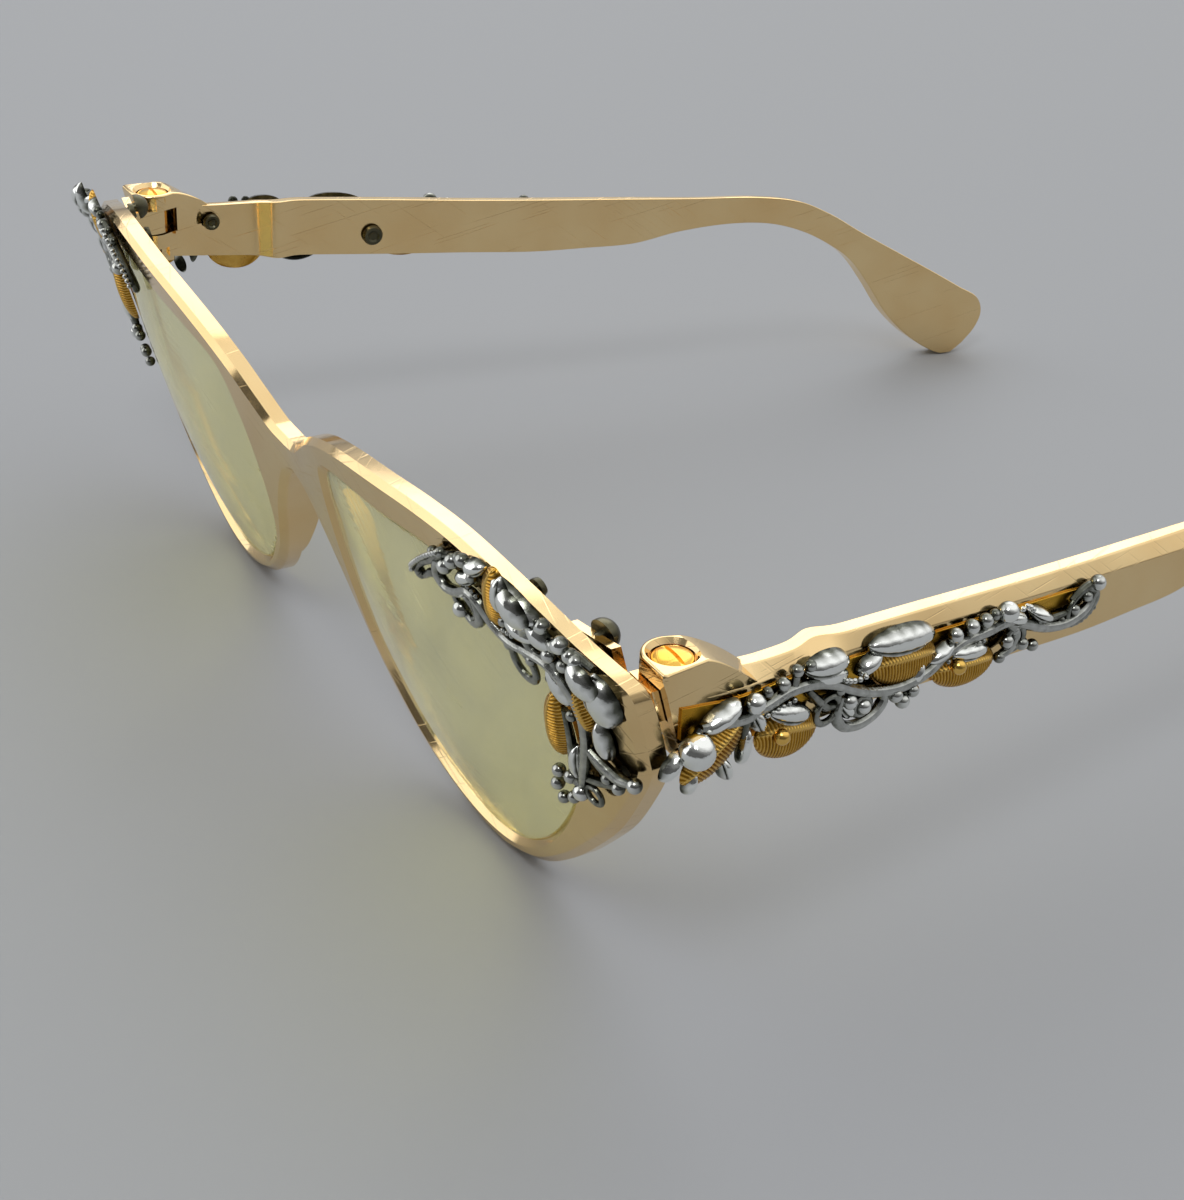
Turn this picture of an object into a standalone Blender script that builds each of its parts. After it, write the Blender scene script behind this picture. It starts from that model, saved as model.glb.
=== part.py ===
"""Cat-eye eyeglasses: a pressed aluminium front with two lenses, two folding temples and cast trim.

The glasses stand open on a table, on the bottoms of the rims and the tips of the temples.
+X is the wearer's left, +Y runs back along the temples, +Z is up, and the table is z = 0.
"""
import math

import bmesh
import bpy
from mathutils import Matrix, Vector

MM = 0.001
SLIVER = 0.02 * MM

# Front plate
FRONT_WIDTH = 138.0 * MM
FRONT_HEIGHT = 43.6 * MM
FRONT_THICKNESS = 2.8 * MM
EDGE_CHAMFER = 0.35 * MM
FRONT_TILT = math.radians(15.6)
HALF_CURVE_RADIUS = 184.0 * MM
CREST_X = 23.0 * MM
BRIDGE_SOFTNESS = 3.0 * MM
BEND_SPACING = 9.0 * MM

# Nose flanges
FLANGE_WALL = 1.1 * MM
FLANGE_DEPTH = 6.2 * MM
FLANGE_INSET = 0.15 * MM

# Lenses and their groove
LENS_THICKNESS = 1.6 * MM
LENS_TONGUE = 0.7 * MM
LENS_BULGE = 1.8 * MM
GROOVE_DEPTH = 1.0 * MM
LENS_CLEARANCE = 0.3 * MM

# Hinge
HINGE_INSET = 4.4 * MM
HINGE_DROP = 5.2 * MM
HINGE_SETBACK = 4.6 * MM
FLANGE_RADIUS = 2.9 * MM
LOWER_FLANGE_RADIUS = 2.1 * MM
TOP_FLANGE = 2.1 * MM
KNUCKLE_HEIGHT = 3.6 * MM
BOTTOM_FLANGE = 2.0 * MM
KNUCKLE_RADIUS = 1.9 * MM
KNUCKLE_CLEARANCE = 0.15 * MM
SKIN_OFFSET = 2.95 * MM
SKIN_THICKNESS = 0.8 * MM
LUG_THICKNESS = 1.0 * MM
LUG_PLATE_REACH = 8.0 * MM
LUG_PLATE_INSET = 2.3 * MM
LUG_MARGIN = 0.3 * MM
LUG_BEND_SPACING = 2.1 * MM
SEAT_GAP = 0.3 * MM
SCREW_RADIUS = 0.8 * MM
SCREW_FIT = 0.07 * MM
SCREW_HEAD_RADIUS = 1.95 * MM
SCREW_HEAD_HEIGHT = 1.0 * MM
SCREW_SLOT_WIDTH = 0.4 * MM
SCREW_SLOT_DEPTH = 0.35 * MM
HEAD_LENGTH = 6.4 * MM
HEAD_CORNER = 1.5 * MM
WEB_SETBACK = 0.5 * MM
WEB_THROAT = 1.6 * MM
BLEND = 0.1 * MM

# Temples
TEMPLE_REACH = 125.6 * MM
TEMPLE_THICKNESS = 2.6 * MM
TEMPLE_ROOT_SWELL = 1.3 * MM
TEMPLE_CONVERGENCE = 0.1428
TEMPLE_BOW = 0.112
TEMPLE_TOP_SLOPE = 1.6 * MM
TEMPLE_EDGE_CHAMFER = 0.3 * MM

# Rivets
RIVET_RADIUS = 0.6 * MM
RIVET_FIT = 0.06 * MM
RIVET_HEAD_HEIGHT = 0.6 * MM
LUG_KNOB_RADIUS = 1.6 * MM
LUG_KNOB_HEIGHT = 1.5 * MM

# Trim
TRIM_GAP = 0.3 * MM
STEM_RADIUS = 0.5 * MM
STALK_RADIUS = 0.4 * MM
STEM_RISE = 0.95 * MM
LEAF_RISE = 1.3 * MM
PETAL_RISE = 1.5 * MM
LEAF_CLEARANCE = 0.2 * MM

# The drawings below are in millimetres. The zones next to the wing's end, next to the front's top and next to
# the hinge carry the trim and keep their size. The rest is stretched to the sizes above.
WING_ZONE = 27.5 * MM
BROW_ZONE = 23.0 * MM
TRIM_ZONE = 58.0 * MM
DRAWN_PIVOT_Y = 12.7

# Outline of one half of the front, x and z, from the bridge over the wing to the nose.
BROW = [(0, 32.6), (3, 33.1), (6.5, 35.2), (11, 38.0), (16.5, 40.2), (23, 41.8), (31, 42.9), (39, 43.6),
        (46, 43.3), (54, 41.3), (61, 38.8), (67.4, 37.0)]
WING_END = [(68.7, 36.3), (69, 35.4), (69, 28.8), (68.7, 27.7)]
LOWER_RIM = [(65.5, 24), (60.5, 17.6), (55.5, 12.2), (50, 7.0), (43.5, 2.3), (36.8, 0), (33.2, 0)]
NOSE = [(29, 0.8), (25, 2.1), (20.5, 4.4), (16.4, 7.7), (13.0, 11.5), (10.6, 15.5), (8.4, 19.5),
        (5.6, 23.6), (2.8, 26.8), (0, 28.0)]
LENS_OPENING = [(14.6, 35.6), (12.6, 31), (12.0, 25.5), (12.3, 19.8), (13.7, 14.6), (17.0, 10.2),
                (21.6, 6.0), (28.0, 3.1), (34, 2.1), (40.0, 3.2), (45.8, 7.0), (51, 12.6), (55, 19),
                (57.2, 25), (57.4, 30.5), (55.4, 34.8), (49, 37.7), (40, 39.0), (30, 38.0), (21, 37.2)]
LENS_CENTRE = (34.0, 21.5)
FLANGE_PATH = [(14.6, 9.6), (13.0, 11.5), (10.6, 15.5), (8.4, 19.5), (5.6, 23.6), (3.2, 26.4)]
FLANGE_REACH = [0.5, 0.6, 0.78, 0.88, 1.0, 0.97]

# Temple stations: distance behind the pivot and height, of the top edge and of the bottom edge.
TEMPLE_STATIONS = [((1.6, 36.7), (1.6, 29.2)), ((7.3, 36.05), (7.3, 28.3)), ((17.3, 35.0), (17.3, 27.2)),
                   ((30, 33.6), (30, 25.9)), ((42, 32.5), (42, 24.8)), ((52.3, 31.5), (52.3, 23.8)),
                   ((60.3, 30.8), (60.3, 23.5)), ((68.3, 30.1), (67.8, 23.4)), ((77.3, 29.3), (74.8, 24.5)),
                   ((86.3, 28.6), (82.3, 24.9)), ((93.3, 27.3), (88.8, 24.3)), ((98.8, 24.7), (94.3, 22.5)),
                   ((103.8, 21.5), (99.1, 19.8)), ((108.3, 18.8), (102.7, 16.9)),
                   ((112.8, 16.1), (105.9, 12.7)), ((117.3, 13.4), (108.9, 8.2)),
                   ((121.3, 10.9), (111.9, 4.9)), ((124.5, 8.9), (114.9, 2.4)),
                   ((125.6, 6.4), (117.6, 0.7)), ((124.8, 3.8), (119.3, 0)), ((123.0, 1.6), (120.9, 0))]

# Temple trim: distance along the front-to-back direction and height, then sizes in millimetres.
TEMPLE_STEMS = [
    [(13.4, 32.4), (16, 31.9), (18.6, 31.5), (21.2, 31.9), (23.6, 32.4), (26.4, 32.2), (30, 31.4), (33.4, 30.9),
     (38, 30.75), (42.6, 30.1), (46.2, 29.75), (49.6, 29.7), (52.6, 29.9), (55.4, 28.6), (58.6, 27.2),
     (61.6, 26.7), (64.2, 27.4), (65.6, 29.0)],
    [(33.6, 30.6), (34.5, 28.8), (33.9, 26.9), (32.4, 26.1), (30.9, 27.0), (31.2, 28.4)],
    [(32.9, 26.3), (35.6, 25.4), (39.4, 25.2), (42.9, 25.3)],
    [(52.6, 29.6), (53.9, 28.2), (53.2, 26.7), (51.9, 26.2)],
]
TEMPLE_BEADS = [(12.3, 30.9, 1.7), (19.4, 32.9, 1.0), (22.9, 33.5, 0.7), (24.5, 34.3, 0.65), (31.4, 28.6, 0.8),
                (41.1, 25.7, 0.85), (43.0, 25.6, 0.75), (45.0, 31.0, 0.8), (47.2, 31.2, 0.8), (49.2, 31.2, 0.75),
                (51.9, 31.4, 1.1), (52.0, 26.0, 0.6), (62.5, 27.9, 0.65), (64.2, 28.9, 0.65), (65.5, 30.1, 0.85)]
TEMPLE_PETALS = [(16.2, 33.6, 5.0, 2.4, 15), (28.4, 33.7, 5.6, 2.6, -4), (38.3, 32.6, 8.6, 2.8, -7),
                 (57.5, 29.0, 3.6, 1.4, -28)]
TEMPLE_LEAVES = [(15.6, 28.9, 7.6, 4.6, -38), (24.6, 28.6, 8.6, 5.0, -26), (39.2, 28.2, 7.6, 3.2, -5),
                 (47.3, 26.7, 8.6, 4.4, -10)]

# Front trim: x and z, then sizes in millimetres.
FRONT_STEMS = [
    [(45.0, 40.0), (43.4, 39.9), (42.9, 38.5), (44.1, 37.6), (46.0, 38.1), (48.0, 39.2), (49.6, 38.6),
     (51.0, 37.2), (53.4, 36.3), (56.2, 36.6), (58.6, 36.5), (60.6, 35.0), (61.6, 32.6), (61.3, 29.8),
     (60.4, 27.0), (59.4, 24.4), (58.6, 22.4)],
    [(56.2, 37.1), (55.9, 38.7), (57.1, 39.9), (58.7, 39.6), (59.2, 38.2)],
    [(60.9, 28.6), (62.8, 27.6), (64.8, 27.0), (66.6, 27.4)],
    [(48.4, 38.6), (48.9, 36.6), (47.6, 35.5), (46.2, 36.0)],
]
FRONT_BEADS = [(45.1, 40.6, 0.8), (46.7, 41.9, 0.75), (48.6, 42.9, 0.7), (61.4, 40.3, 0.85), (63.2, 39.4, 0.8),
               (59.2, 38.0, 0.75), (58.5, 21.9, 0.85), (57.2, 22.9, 0.7), (66.9, 27.6, 0.75), (46.0, 36.3, 0.85)]
FRONT_PETALS = [(55.6, 41.7, 6.6, 2.4, -24), (64.8, 35.6, 5.6, 4.2, -78)]
FRONT_LEAVES = [(51.6, 40.9, 5.4, 3.2, 62), (57.9, 30.0, 6.4, 3.4, 72)]

# Rivet places: x and z on the front, distance back and height on a temple, then head radius.
LUG_RIVETS = [(60.2, 37.2, LUG_KNOB_RADIUS, LUG_KNOB_HEIGHT), (59.6, 33.4, 1.1 * MM, RIVET_HEAD_HEIGHT)]
FRONT_TRIM_RIVETS = [(64.6, 27.2, 1.1 * MM, RIVET_HEAD_HEIGHT), (53.2, 39.6, 1.0 * MM, RIVET_HEAD_HEIGHT)]
TEMPLE_TRIM_RIVETS = [(20.6, 33.2, 1.1 * MM, RIVET_HEAD_HEIGHT), (42.5, 28.9, 1.4 * MM, RIVET_HEAD_HEIGHT)]

DRAWN_HALF_WIDTH = max(x for x, _ in WING_END) * MM
DRAWN_HEIGHT = max(z for _, z in BROW) * MM
DRAWN_REACH = max(top[0] for top, _ in TEMPLE_STATIONS) * MM
TILT_SLOPE = math.tan(FRONT_TILT)
TILT_TOP = FRONT_HEIGHT
GROOVE_WIDTH = LENS_TONGUE + 2 * LENS_CLEARANCE
HINGE_TOP = FRONT_HEIGHT - HINGE_DROP
KNUCKLE_TOP = HINGE_TOP - TOP_FLANGE
KNUCKLE_BOTTOM = KNUCKLE_TOP - KNUCKLE_HEIGHT
HINGE_BOTTOM = KNUCKLE_BOTTOM - BOTTOM_FLANGE


def front_y(x, z):
    """Return where the front face lies, by the tilt and by the curve of each half."""
    across = math.sqrt(x * x + BRIDGE_SOFTNESS * BRIDGE_SOFTNESS) - CREST_X
    return TILT_SLOPE * (TILT_TOP - z) + across * across / (2 * HALF_CURVE_RADIUS)


PIVOT_X = FRONT_WIDTH / 2 - HINGE_INSET
PIVOT_Y = front_y(PIVOT_X, HINGE_TOP) + FRONT_THICKNESS + HINGE_SETBACK
ORIGIN_Y = (PIVOT_Y + TEMPLE_REACH) / 2


def kept_at_end(value, drawn, size, zone):
    """Return a drawn length stretched to its size, where the zone before the end only moves with it."""
    if value > drawn - zone:
        return value + size - drawn
    return value * (size - zone) / (drawn - zone)


def front_place(x, z):
    """Return a drawn point of the front, in metres."""
    return Vector((kept_at_end(x * MM, DRAWN_HALF_WIDTH, FRONT_WIDTH / 2, WING_ZONE),
                   kept_at_end(z * MM, DRAWN_HEIGHT, FRONT_HEIGHT, BROW_ZONE)))


def temple_place(back, z):
    """Return a drawn point of a temple, in metres behind the pivot and in height."""
    back *= MM
    beyond = max(back - TRIM_ZONE, 0) / (DRAWN_REACH - TRIM_ZONE)
    stretch = beyond * (TEMPLE_REACH - DRAWN_REACH)
    lift = (1 - beyond) * (FRONT_HEIGHT - DRAWN_HEIGHT)
    return Vector((back + stretch, z * MM + lift))


def start_scene():
    """Empty the scene and make the two collections."""
    for old in list(bpy.data.objects):
        bpy.data.objects.remove(old)
    parts = bpy.data.collections.new("cat_eye_glasses")
    cutters = bpy.data.collections.new("cutters")
    bpy.context.scene.collection.children.link(parts)
    bpy.context.scene.collection.children.link(cutters)
    return parts, cutters


PARTS, CUTTERS = start_scene()


def add_empty(name, place):
    """Return an empty that carries the pieces of one body."""
    empty = bpy.data.objects.new(name, None)
    empty.location = place
    PARTS.objects.link(empty)
    return empty


FRONT_DATUM = add_empty("front_datum", (0, -ORIGIN_Y, 0))
HINGE_DATUM = {
    "left": add_empty("hinge_axis_left", (PIVOT_X, PIVOT_Y - ORIGIN_Y, HINGE_TOP)),
    "right": add_empty("hinge_axis_right", (-PIVOT_X, PIVOT_Y - ORIGIN_Y, HINGE_TOP)),
}


def make_material(name, colour, metallic, roughness, alpha=1.0):
    """Return a Principled material."""
    material = bpy.data.materials.new(name)
    material.use_nodes = True
    shader = material.node_tree.nodes["Principled BSDF"]
    shader.inputs["Base Color"].default_value = (*colour, 1)
    shader.inputs["Metallic"].default_value = metallic
    shader.inputs["Roughness"].default_value = roughness
    shader.inputs["Alpha"].default_value = alpha
    return material


FINISHES = {
    "gold_anodised": ((0.80, 0.66, 0.42), 1.0, 0.2),
    "brass": ((0.75, 0.50, 0.16), 1.0, 0.25),
    "silver_plate": ((0.75, 0.74, 0.70), 1.0, 0.3),
    "leaf_gold": ((0.62, 0.42, 0.13), 1.0, 0.35),
    "dark_rivet": ((0.20, 0.19, 0.15), 1.0, 0.4),
    "lens": ((0.80, 0.84, 0.72), 0.0, 0.05),
}


def smooth_path(points, closed=False, steps=4):
    """Return a Catmull-Rom path through the points, with the given steps in each span."""
    count = len(points)
    path = []
    spans = count if closed else count - 1
    for i in range(spans):
        if closed:
            a, b, c, d = (Vector(points[(i + k - 1) % count]) for k in range(4))
        else:
            b, c = Vector(points[i]), Vector(points[i + 1])
            a = Vector(points[i - 1]) if i > 0 else 2 * b - c
            d = Vector(points[i + 2]) if i + 2 < count else 2 * c - b
        for step in range(steps):
            t = step / steps
            path.append(0.5 * ((2 * b) + (c - a) * t + (2 * a - 5 * b + 4 * c - d) * t * t
                               + (3 * b - a - 3 * c + d) * t * t * t))
    if not closed:
        path.append(Vector(points[-1]))
    return path


def offset_loop(loop, distance):
    """Return a closed loop moved outwards by the distance, for a loop that runs anticlockwise."""
    moved = []
    count = len(loop)
    for i, here in enumerate(loop):
        along = (loop[(i + 1) % count] - loop[i - 1]).normalized()
        moved.append(here + distance * Vector((along.y, -along.x)))
    return moved


def anticlockwise(loop):
    """Return the loop in anticlockwise order."""
    area = sum(a.x * b.y - b.x * a.y for a, b in zip(loop, loop[1:] + loop[:1]))
    return loop if area > 0 else loop[::-1]


def stretched(points):
    """Return drawn points of the front, in metres."""
    return [front_place(x, z) for x, z in points]


def curve_to_mesh(curve_object):
    """Return the welded mesh of a curve object, in world space, and remove the object."""
    depsgraph = bpy.context.evaluated_depsgraph_get()
    mesh = bpy.data.meshes.new_from_object(curve_object.evaluated_get(depsgraph))
    mesh.transform(curve_object.matrix_world)
    bpy.data.objects.remove(curve_object)
    body = bmesh.new()
    body.from_mesh(mesh)
    bmesh.ops.remove_doubles(body, verts=body.verts, dist=0.001 * MM)
    bmesh.ops.recalc_face_normals(body, faces=body.faces)
    body.to_mesh(mesh)
    body.free()
    return mesh


def outline_solid(loops, thickness, chamfer=0.0):
    """Return a flat solid with the loops in x and z, its first face at y = 0 and its depth along +y.

    The curve is drawn in millimetres and scaled, because a curve's fill is too coarse for metres here.
    """
    curve = bpy.data.curves.new("outline", "CURVE")
    curve.dimensions = "2D"
    curve.fill_mode = "BOTH"
    curve.extrude = (thickness / 2 - chamfer) / MM
    curve.bevel_depth = chamfer / MM
    curve.bevel_resolution = 0
    for loop in loops:
        spline = curve.splines.new("POLY")
        spline.points.add(len(loop) - 1)
        for point, place in zip(spline.points, loop):
            point.co = (place.x / MM, place.y / MM, 0, 1)
        spline.use_cyclic_u = True
    flat = bpy.data.objects.new("outline", curve)
    flat.scale = (MM, MM, MM)
    bpy.context.scene.collection.objects.link(flat)
    mesh = curve_to_mesh(flat)
    mesh.transform(Matrix.Translation((0, thickness / 2, 0)) @ Matrix.Rotation(math.pi / 2, 4, "X"))
    return mesh


def plan_solid(loop, bottom, top):
    """Return an upright prism with the loop in x and y."""
    mesh = outline_solid([anticlockwise(loop)], top - bottom)
    mesh.transform(Matrix.Translation((0, 0, top)) @ Matrix.Rotation(-math.pi / 2, 4, "X"))
    return mesh


def add_tool(mesh):
    """Return a cutter or joiner object in the cutters collection."""
    tool = bpy.data.objects.new("cutter", mesh)
    tool.hide_render = True
    tool.display_type = "WIRE"
    CUTTERS.objects.link(tool)
    return tool


def merge_slivers(mesh):
    """Merge the points that a Boolean leaves nearly on top of each other."""
    body = bmesh.new()
    body.from_mesh(mesh)
    bmesh.ops.remove_doubles(body, verts=body.verts, dist=SLIVER)
    bmesh.ops.dissolve_degenerate(body, edges=body.edges, dist=SLIVER)
    body.to_mesh(mesh)
    body.free()


def cut(mesh, tool_mesh):
    """Return the mesh without the tool, worked in millimetres for the solver's tolerances."""
    mesh.transform(Matrix.Scale(1 / MM, 4))
    tool_mesh.transform(Matrix.Scale(1 / MM, 4))
    base = bpy.data.objects.new("base", mesh)
    bpy.context.scene.collection.objects.link(base)
    tool = add_tool(tool_mesh)
    boolean = base.modifiers.new("boolean", "BOOLEAN")
    boolean.operation = "DIFFERENCE"
    boolean.solver = "EXACT"
    boolean.object = tool
    depsgraph = bpy.context.evaluated_depsgraph_get()
    result = bpy.data.meshes.new_from_object(base.evaluated_get(depsgraph))
    bpy.data.objects.remove(base)
    result.transform(Matrix.Scale(MM, 4))
    merge_slivers(result)
    tool_mesh.transform(Matrix.Scale(MM, 4))
    return result


def fused(meshes):
    """Return the union of all the meshes, made in one step and worked in millimetres."""
    base, *others = [bpy.data.objects.new("solid", mesh) for mesh in meshes]
    for mesh in meshes:
        mesh.transform(Matrix.Scale(1 / MM, 4))
    bpy.context.scene.collection.objects.link(base)
    group = bpy.data.collections.new("solids")
    bpy.context.scene.collection.children.link(group)
    for other in others:
        group.objects.link(other)
    boolean = base.modifiers.new("union", "BOOLEAN")
    boolean.operation = "UNION"
    boolean.solver = "EXACT"
    boolean.operand_type = "COLLECTION"
    boolean.collection = group
    depsgraph = bpy.context.evaluated_depsgraph_get()
    result = bpy.data.meshes.new_from_object(base.evaluated_get(depsgraph))
    result.transform(Matrix.Scale(MM, 4))
    merge_slivers(result)
    for solid in (base, *others):
        bpy.data.objects.remove(solid)
    bpy.data.collections.remove(group)
    return result


def mirrored(mesh):
    """Return a copy of the mesh on the other side of x = 0, with its faces still pointing out."""
    copy = mesh.copy()
    copy.transform(Matrix.Scale(-1, 4, (1, 0, 0)))
    copy.flip_normals()
    return copy


def add_piece(name, mesh, finish, datum):
    """Link one piece under the empty that carries it."""
    mesh.transform(Matrix.Translation(-datum.location - Vector((0, ORIGIN_Y, 0))))
    mesh.name = name
    mesh.materials.clear()
    mesh.materials.append(make_material(name + "_" + finish, *FINISHES[finish]))
    mesh.shade_smooth()
    mesh.set_sharp_from_angle(angle=math.radians(35))
    piece = bpy.data.objects.new(name, mesh)
    piece.parent = datum
    PARTS.objects.link(piece)
    return piece


def add_pair(name, mesh, finish, on_temple, number=""):
    """Link the left piece and its mirror image on the right."""
    for side, side_mesh in (("left", mesh), ("right", mirrored(mesh))):
        datum = HINGE_DATUM[side] if on_temple else FRONT_DATUM
        add_piece(f"{name}_{side}{number}", side_mesh, finish, datum)


def add_numbered_pairs(name, meshes, finish, on_temple):
    """Link a row of small pieces on both sides, each with its number."""
    for number, mesh in enumerate(meshes, start=1):
        add_pair(name, mesh, finish, on_temple, f"_{number}")


def bent_to_front(mesh, spacing=BEND_SPACING):
    """Return the flat mesh laid on the curve and the tilt of the front."""
    body = bmesh.new()
    body.from_mesh(mesh)
    bmesh.ops.dissolve_limit(body, angle_limit=math.radians(0.5), verts=body.verts, edges=body.edges)
    half = max(abs(v.co.x) for v in body.verts)
    places = [0, BRIDGE_SOFTNESS / 2, BRIDGE_SOFTNESS, 2 * BRIDGE_SOFTNESS]
    place = half - spacing
    while place > 2 * BRIDGE_SOFTNESS + spacing / 2:
        places.append(place)
        place -= spacing
    for x in sorted({-p for p in places} | set(places)):
        bmesh.ops.bisect_plane(body, geom=list(body.verts) + list(body.edges) + list(body.faces),
                               plane_co=(x, 0, 0), plane_no=(1, 0, 0), dist=0.0001 * MM)
    for vertex in body.verts:
        vertex.co.y += front_y(vertex.co.x, vertex.co.z)
    bmesh.ops.triangulate(body, faces=body.faces)
    body.to_mesh(mesh)
    body.free()
    return mesh


def lofted(rings):
    """Return a closed solid through rings of points that have the same count."""
    body = bmesh.new()
    loops = [[body.verts.new(point) for point in ring] for ring in rings]
    count = len(loops[0])
    for near, far in zip(loops, loops[1:]):
        for i in range(count):
            body.faces.new((near[i], near[(i + 1) % count], far[(i + 1) % count], far[i]))
    body.faces.new(loops[0][::-1])
    body.faces.new(loops[-1])
    bmesh.ops.triangulate(body, faces=body.faces)
    bmesh.ops.recalc_face_normals(body, faces=body.faces)
    mesh = bpy.data.meshes.new("loft")
    body.to_mesh(mesh)
    body.free()
    return mesh


def turned(profile, sides=20):
    """Return a solid turned about z from radius and height pairs that run from the top down."""
    mesh = bpy.data.meshes.new("profile")
    mesh.from_pydata([(r, 0, z) for r, z in profile], [(i, i + 1) for i in range(len(profile) - 1)], [])
    blank = bpy.data.objects.new("blank", mesh)
    bpy.context.scene.collection.objects.link(blank)
    screw = blank.modifiers.new("turn", "SCREW")
    screw.steps = sides
    screw.render_steps = sides
    screw.use_merge_vertices = True
    screw.merge_threshold = 0.001 * MM
    depsgraph = bpy.context.evaluated_depsgraph_get()
    result = bpy.data.meshes.new_from_object(blank.evaluated_get(depsgraph))
    bpy.data.objects.remove(blank)
    return result


def upright_bore(radius, bottom, top, sides=20):
    """Return a cylinder on the left pivot axis."""
    mesh = turned([(0, top), (radius, top), (radius, bottom), (0, bottom)], sides)
    mesh.transform(Matrix.Translation((PIVOT_X, PIVOT_Y, 0)))
    return mesh


def surface_frame(place, outward, along):
    """Return a matrix whose z points outward and whose x follows the given direction."""
    normal = outward.normalized()
    side = normal.cross(along).normalized()
    forward = side.cross(normal).normalized()
    frame = Matrix((forward, side, normal)).transposed().to_4x4()
    return Matrix.Translation(place) @ frame


def front_frame_at(x, z, height, turn=0.0):
    """Return the frame of a drawn spot on the front face."""
    px, pz = front_place(x, z)
    step = SLIVER / 2
    slope_x = (front_y(px + step, pz) - front_y(px - step, pz)) / (2 * step)
    outward = Vector((slope_x, -1, -TILT_SLOPE)).normalized()
    along = Vector((math.cos(turn), 0, math.sin(turn)))
    along.y = slope_x * along.x - TILT_SLOPE * along.z
    place = Vector((px, front_y(px, pz), pz)) + outward * height
    return surface_frame(place, outward, along)


def temple_x(back):
    """Return the outer face of the left temple at a distance behind the pivot."""
    return PIVOT_X + SKIN_OFFSET - TEMPLE_CONVERGENCE * back - TEMPLE_BOW * back * back


def temple_thickness(back):
    """Return the temple's thickness, which swells towards the hinge."""
    return TEMPLE_THICKNESS + TEMPLE_ROOT_SWELL * math.exp(-max(back, 0) / (9.0 * MM))


def temple_frame_at(y, z, height, turn=0.0):
    """Return the frame of a drawn spot on the outer face of the left temple."""
    back, pz = temple_place(y - DRAWN_PIVOT_Y, z)
    slope = -TEMPLE_CONVERGENCE - 2 * TEMPLE_BOW * back
    outward = Vector((1, -slope, 0)).normalized()
    along = Vector((slope * math.cos(turn), math.cos(turn), math.sin(turn)))
    place = Vector((temple_x(back), PIVOT_Y + back, pz)) + outward * height
    return surface_frame(place, outward, along)


def above_table(path):
    """Return the path with the points below the table lifted onto it."""
    return [Vector((p.x, max(p.y, 0.0))) for p in path]


def front_half_outline():
    """Return the outline of one half of the front, from the bridge's top to its underside."""
    brow = smooth_path(stretched(BROW), steps=2)
    lower = above_table(smooth_path(stretched(WING_END[-1:] + LOWER_RIM + NOSE), steps=2))
    return brow + stretched(WING_END[:-1]) + lower


def make_front():
    """Build the front plate with its lens grooves and nose flanges."""
    half = front_half_outline()
    outline = half + [Vector((-p.x, p.y)) for p in half[-2:0:-1]]
    outline = offset_loop(anticlockwise(outline), -EDGE_CHAMFER)
    opening = anticlockwise(smooth_path(stretched(LENS_OPENING), closed=True, steps=2))
    widened = offset_loop(opening, EDGE_CHAMFER)
    other = [Vector((-p.x, p.y)) for p in widened]
    plate = outline_solid([outline, widened, other], FRONT_THICKNESS, EDGE_CHAMFER)
    groove = outline_solid([offset_loop(opening, GROOVE_DEPTH)], GROOVE_WIDTH)
    groove.transform(Matrix.Translation((0, (FRONT_THICKNESS - GROOVE_WIDTH) / 2, 0)))
    plate = cut(plate, groove)
    plate = cut(plate, mirrored(groove))
    flange = make_flange()
    plate = fused([plate, flange, mirrored(flange)])
    plate = bent_to_front(plate)
    for rivet in LUG_RIVETS + FRONT_TRIM_RIVETS:
        bore = front_rivet_bore(*rivet[:2])
        plate = cut(plate, bore)
        plate = cut(plate, mirrored(bore))
    add_piece("front_frame", plate, "gold_anodised", FRONT_DATUM)


def make_flange():
    """Return one nose flange, still flat, as a wall behind the nose edge."""
    path = smooth_path(stretched(FLANGE_PATH), steps=3)
    reach = smooth_path([(r, 0) for r in FLANGE_REACH], steps=3)
    groove_back = (FRONT_THICKNESS + GROOVE_WIDTH) / 2
    start = groove_back + 0.25 * (FRONT_THICKNESS - groove_back)
    rings = []
    for i, here in enumerate(path):
        before, after = path[max(i - 1, 0)], path[min(i + 1, len(path) - 1)]
        along = (after - before).normalized()
        side = Vector((along.y, -along.x))
        inner, outer = here + side * FLANGE_INSET, here + side * (FLANGE_INSET + FLANGE_WALL)
        back = max(reach[i].x * FLANGE_DEPTH, FRONT_THICKNESS + 0.3 * MM)
        rings.append([(inner.x, start, inner.y), (outer.x, start, outer.y),
                      (outer.x, back, outer.y), (inner.x, back, inner.y)])
    return lofted(rings)


def front_rivet_bore(x, z):
    """Return the bore of a rivet through the front."""
    depth = 2 * (FRONT_THICKNESS + LUG_THICKNESS)
    bore = turned([(0, depth / 2), (RIVET_RADIUS + RIVET_FIT, depth / 2),
                   (RIVET_RADIUS + RIVET_FIT, -depth / 2), (0, -depth / 2)], 12)
    bore.transform(front_frame_at(x, z, -FRONT_THICKNESS / 2))
    return bore


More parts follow.
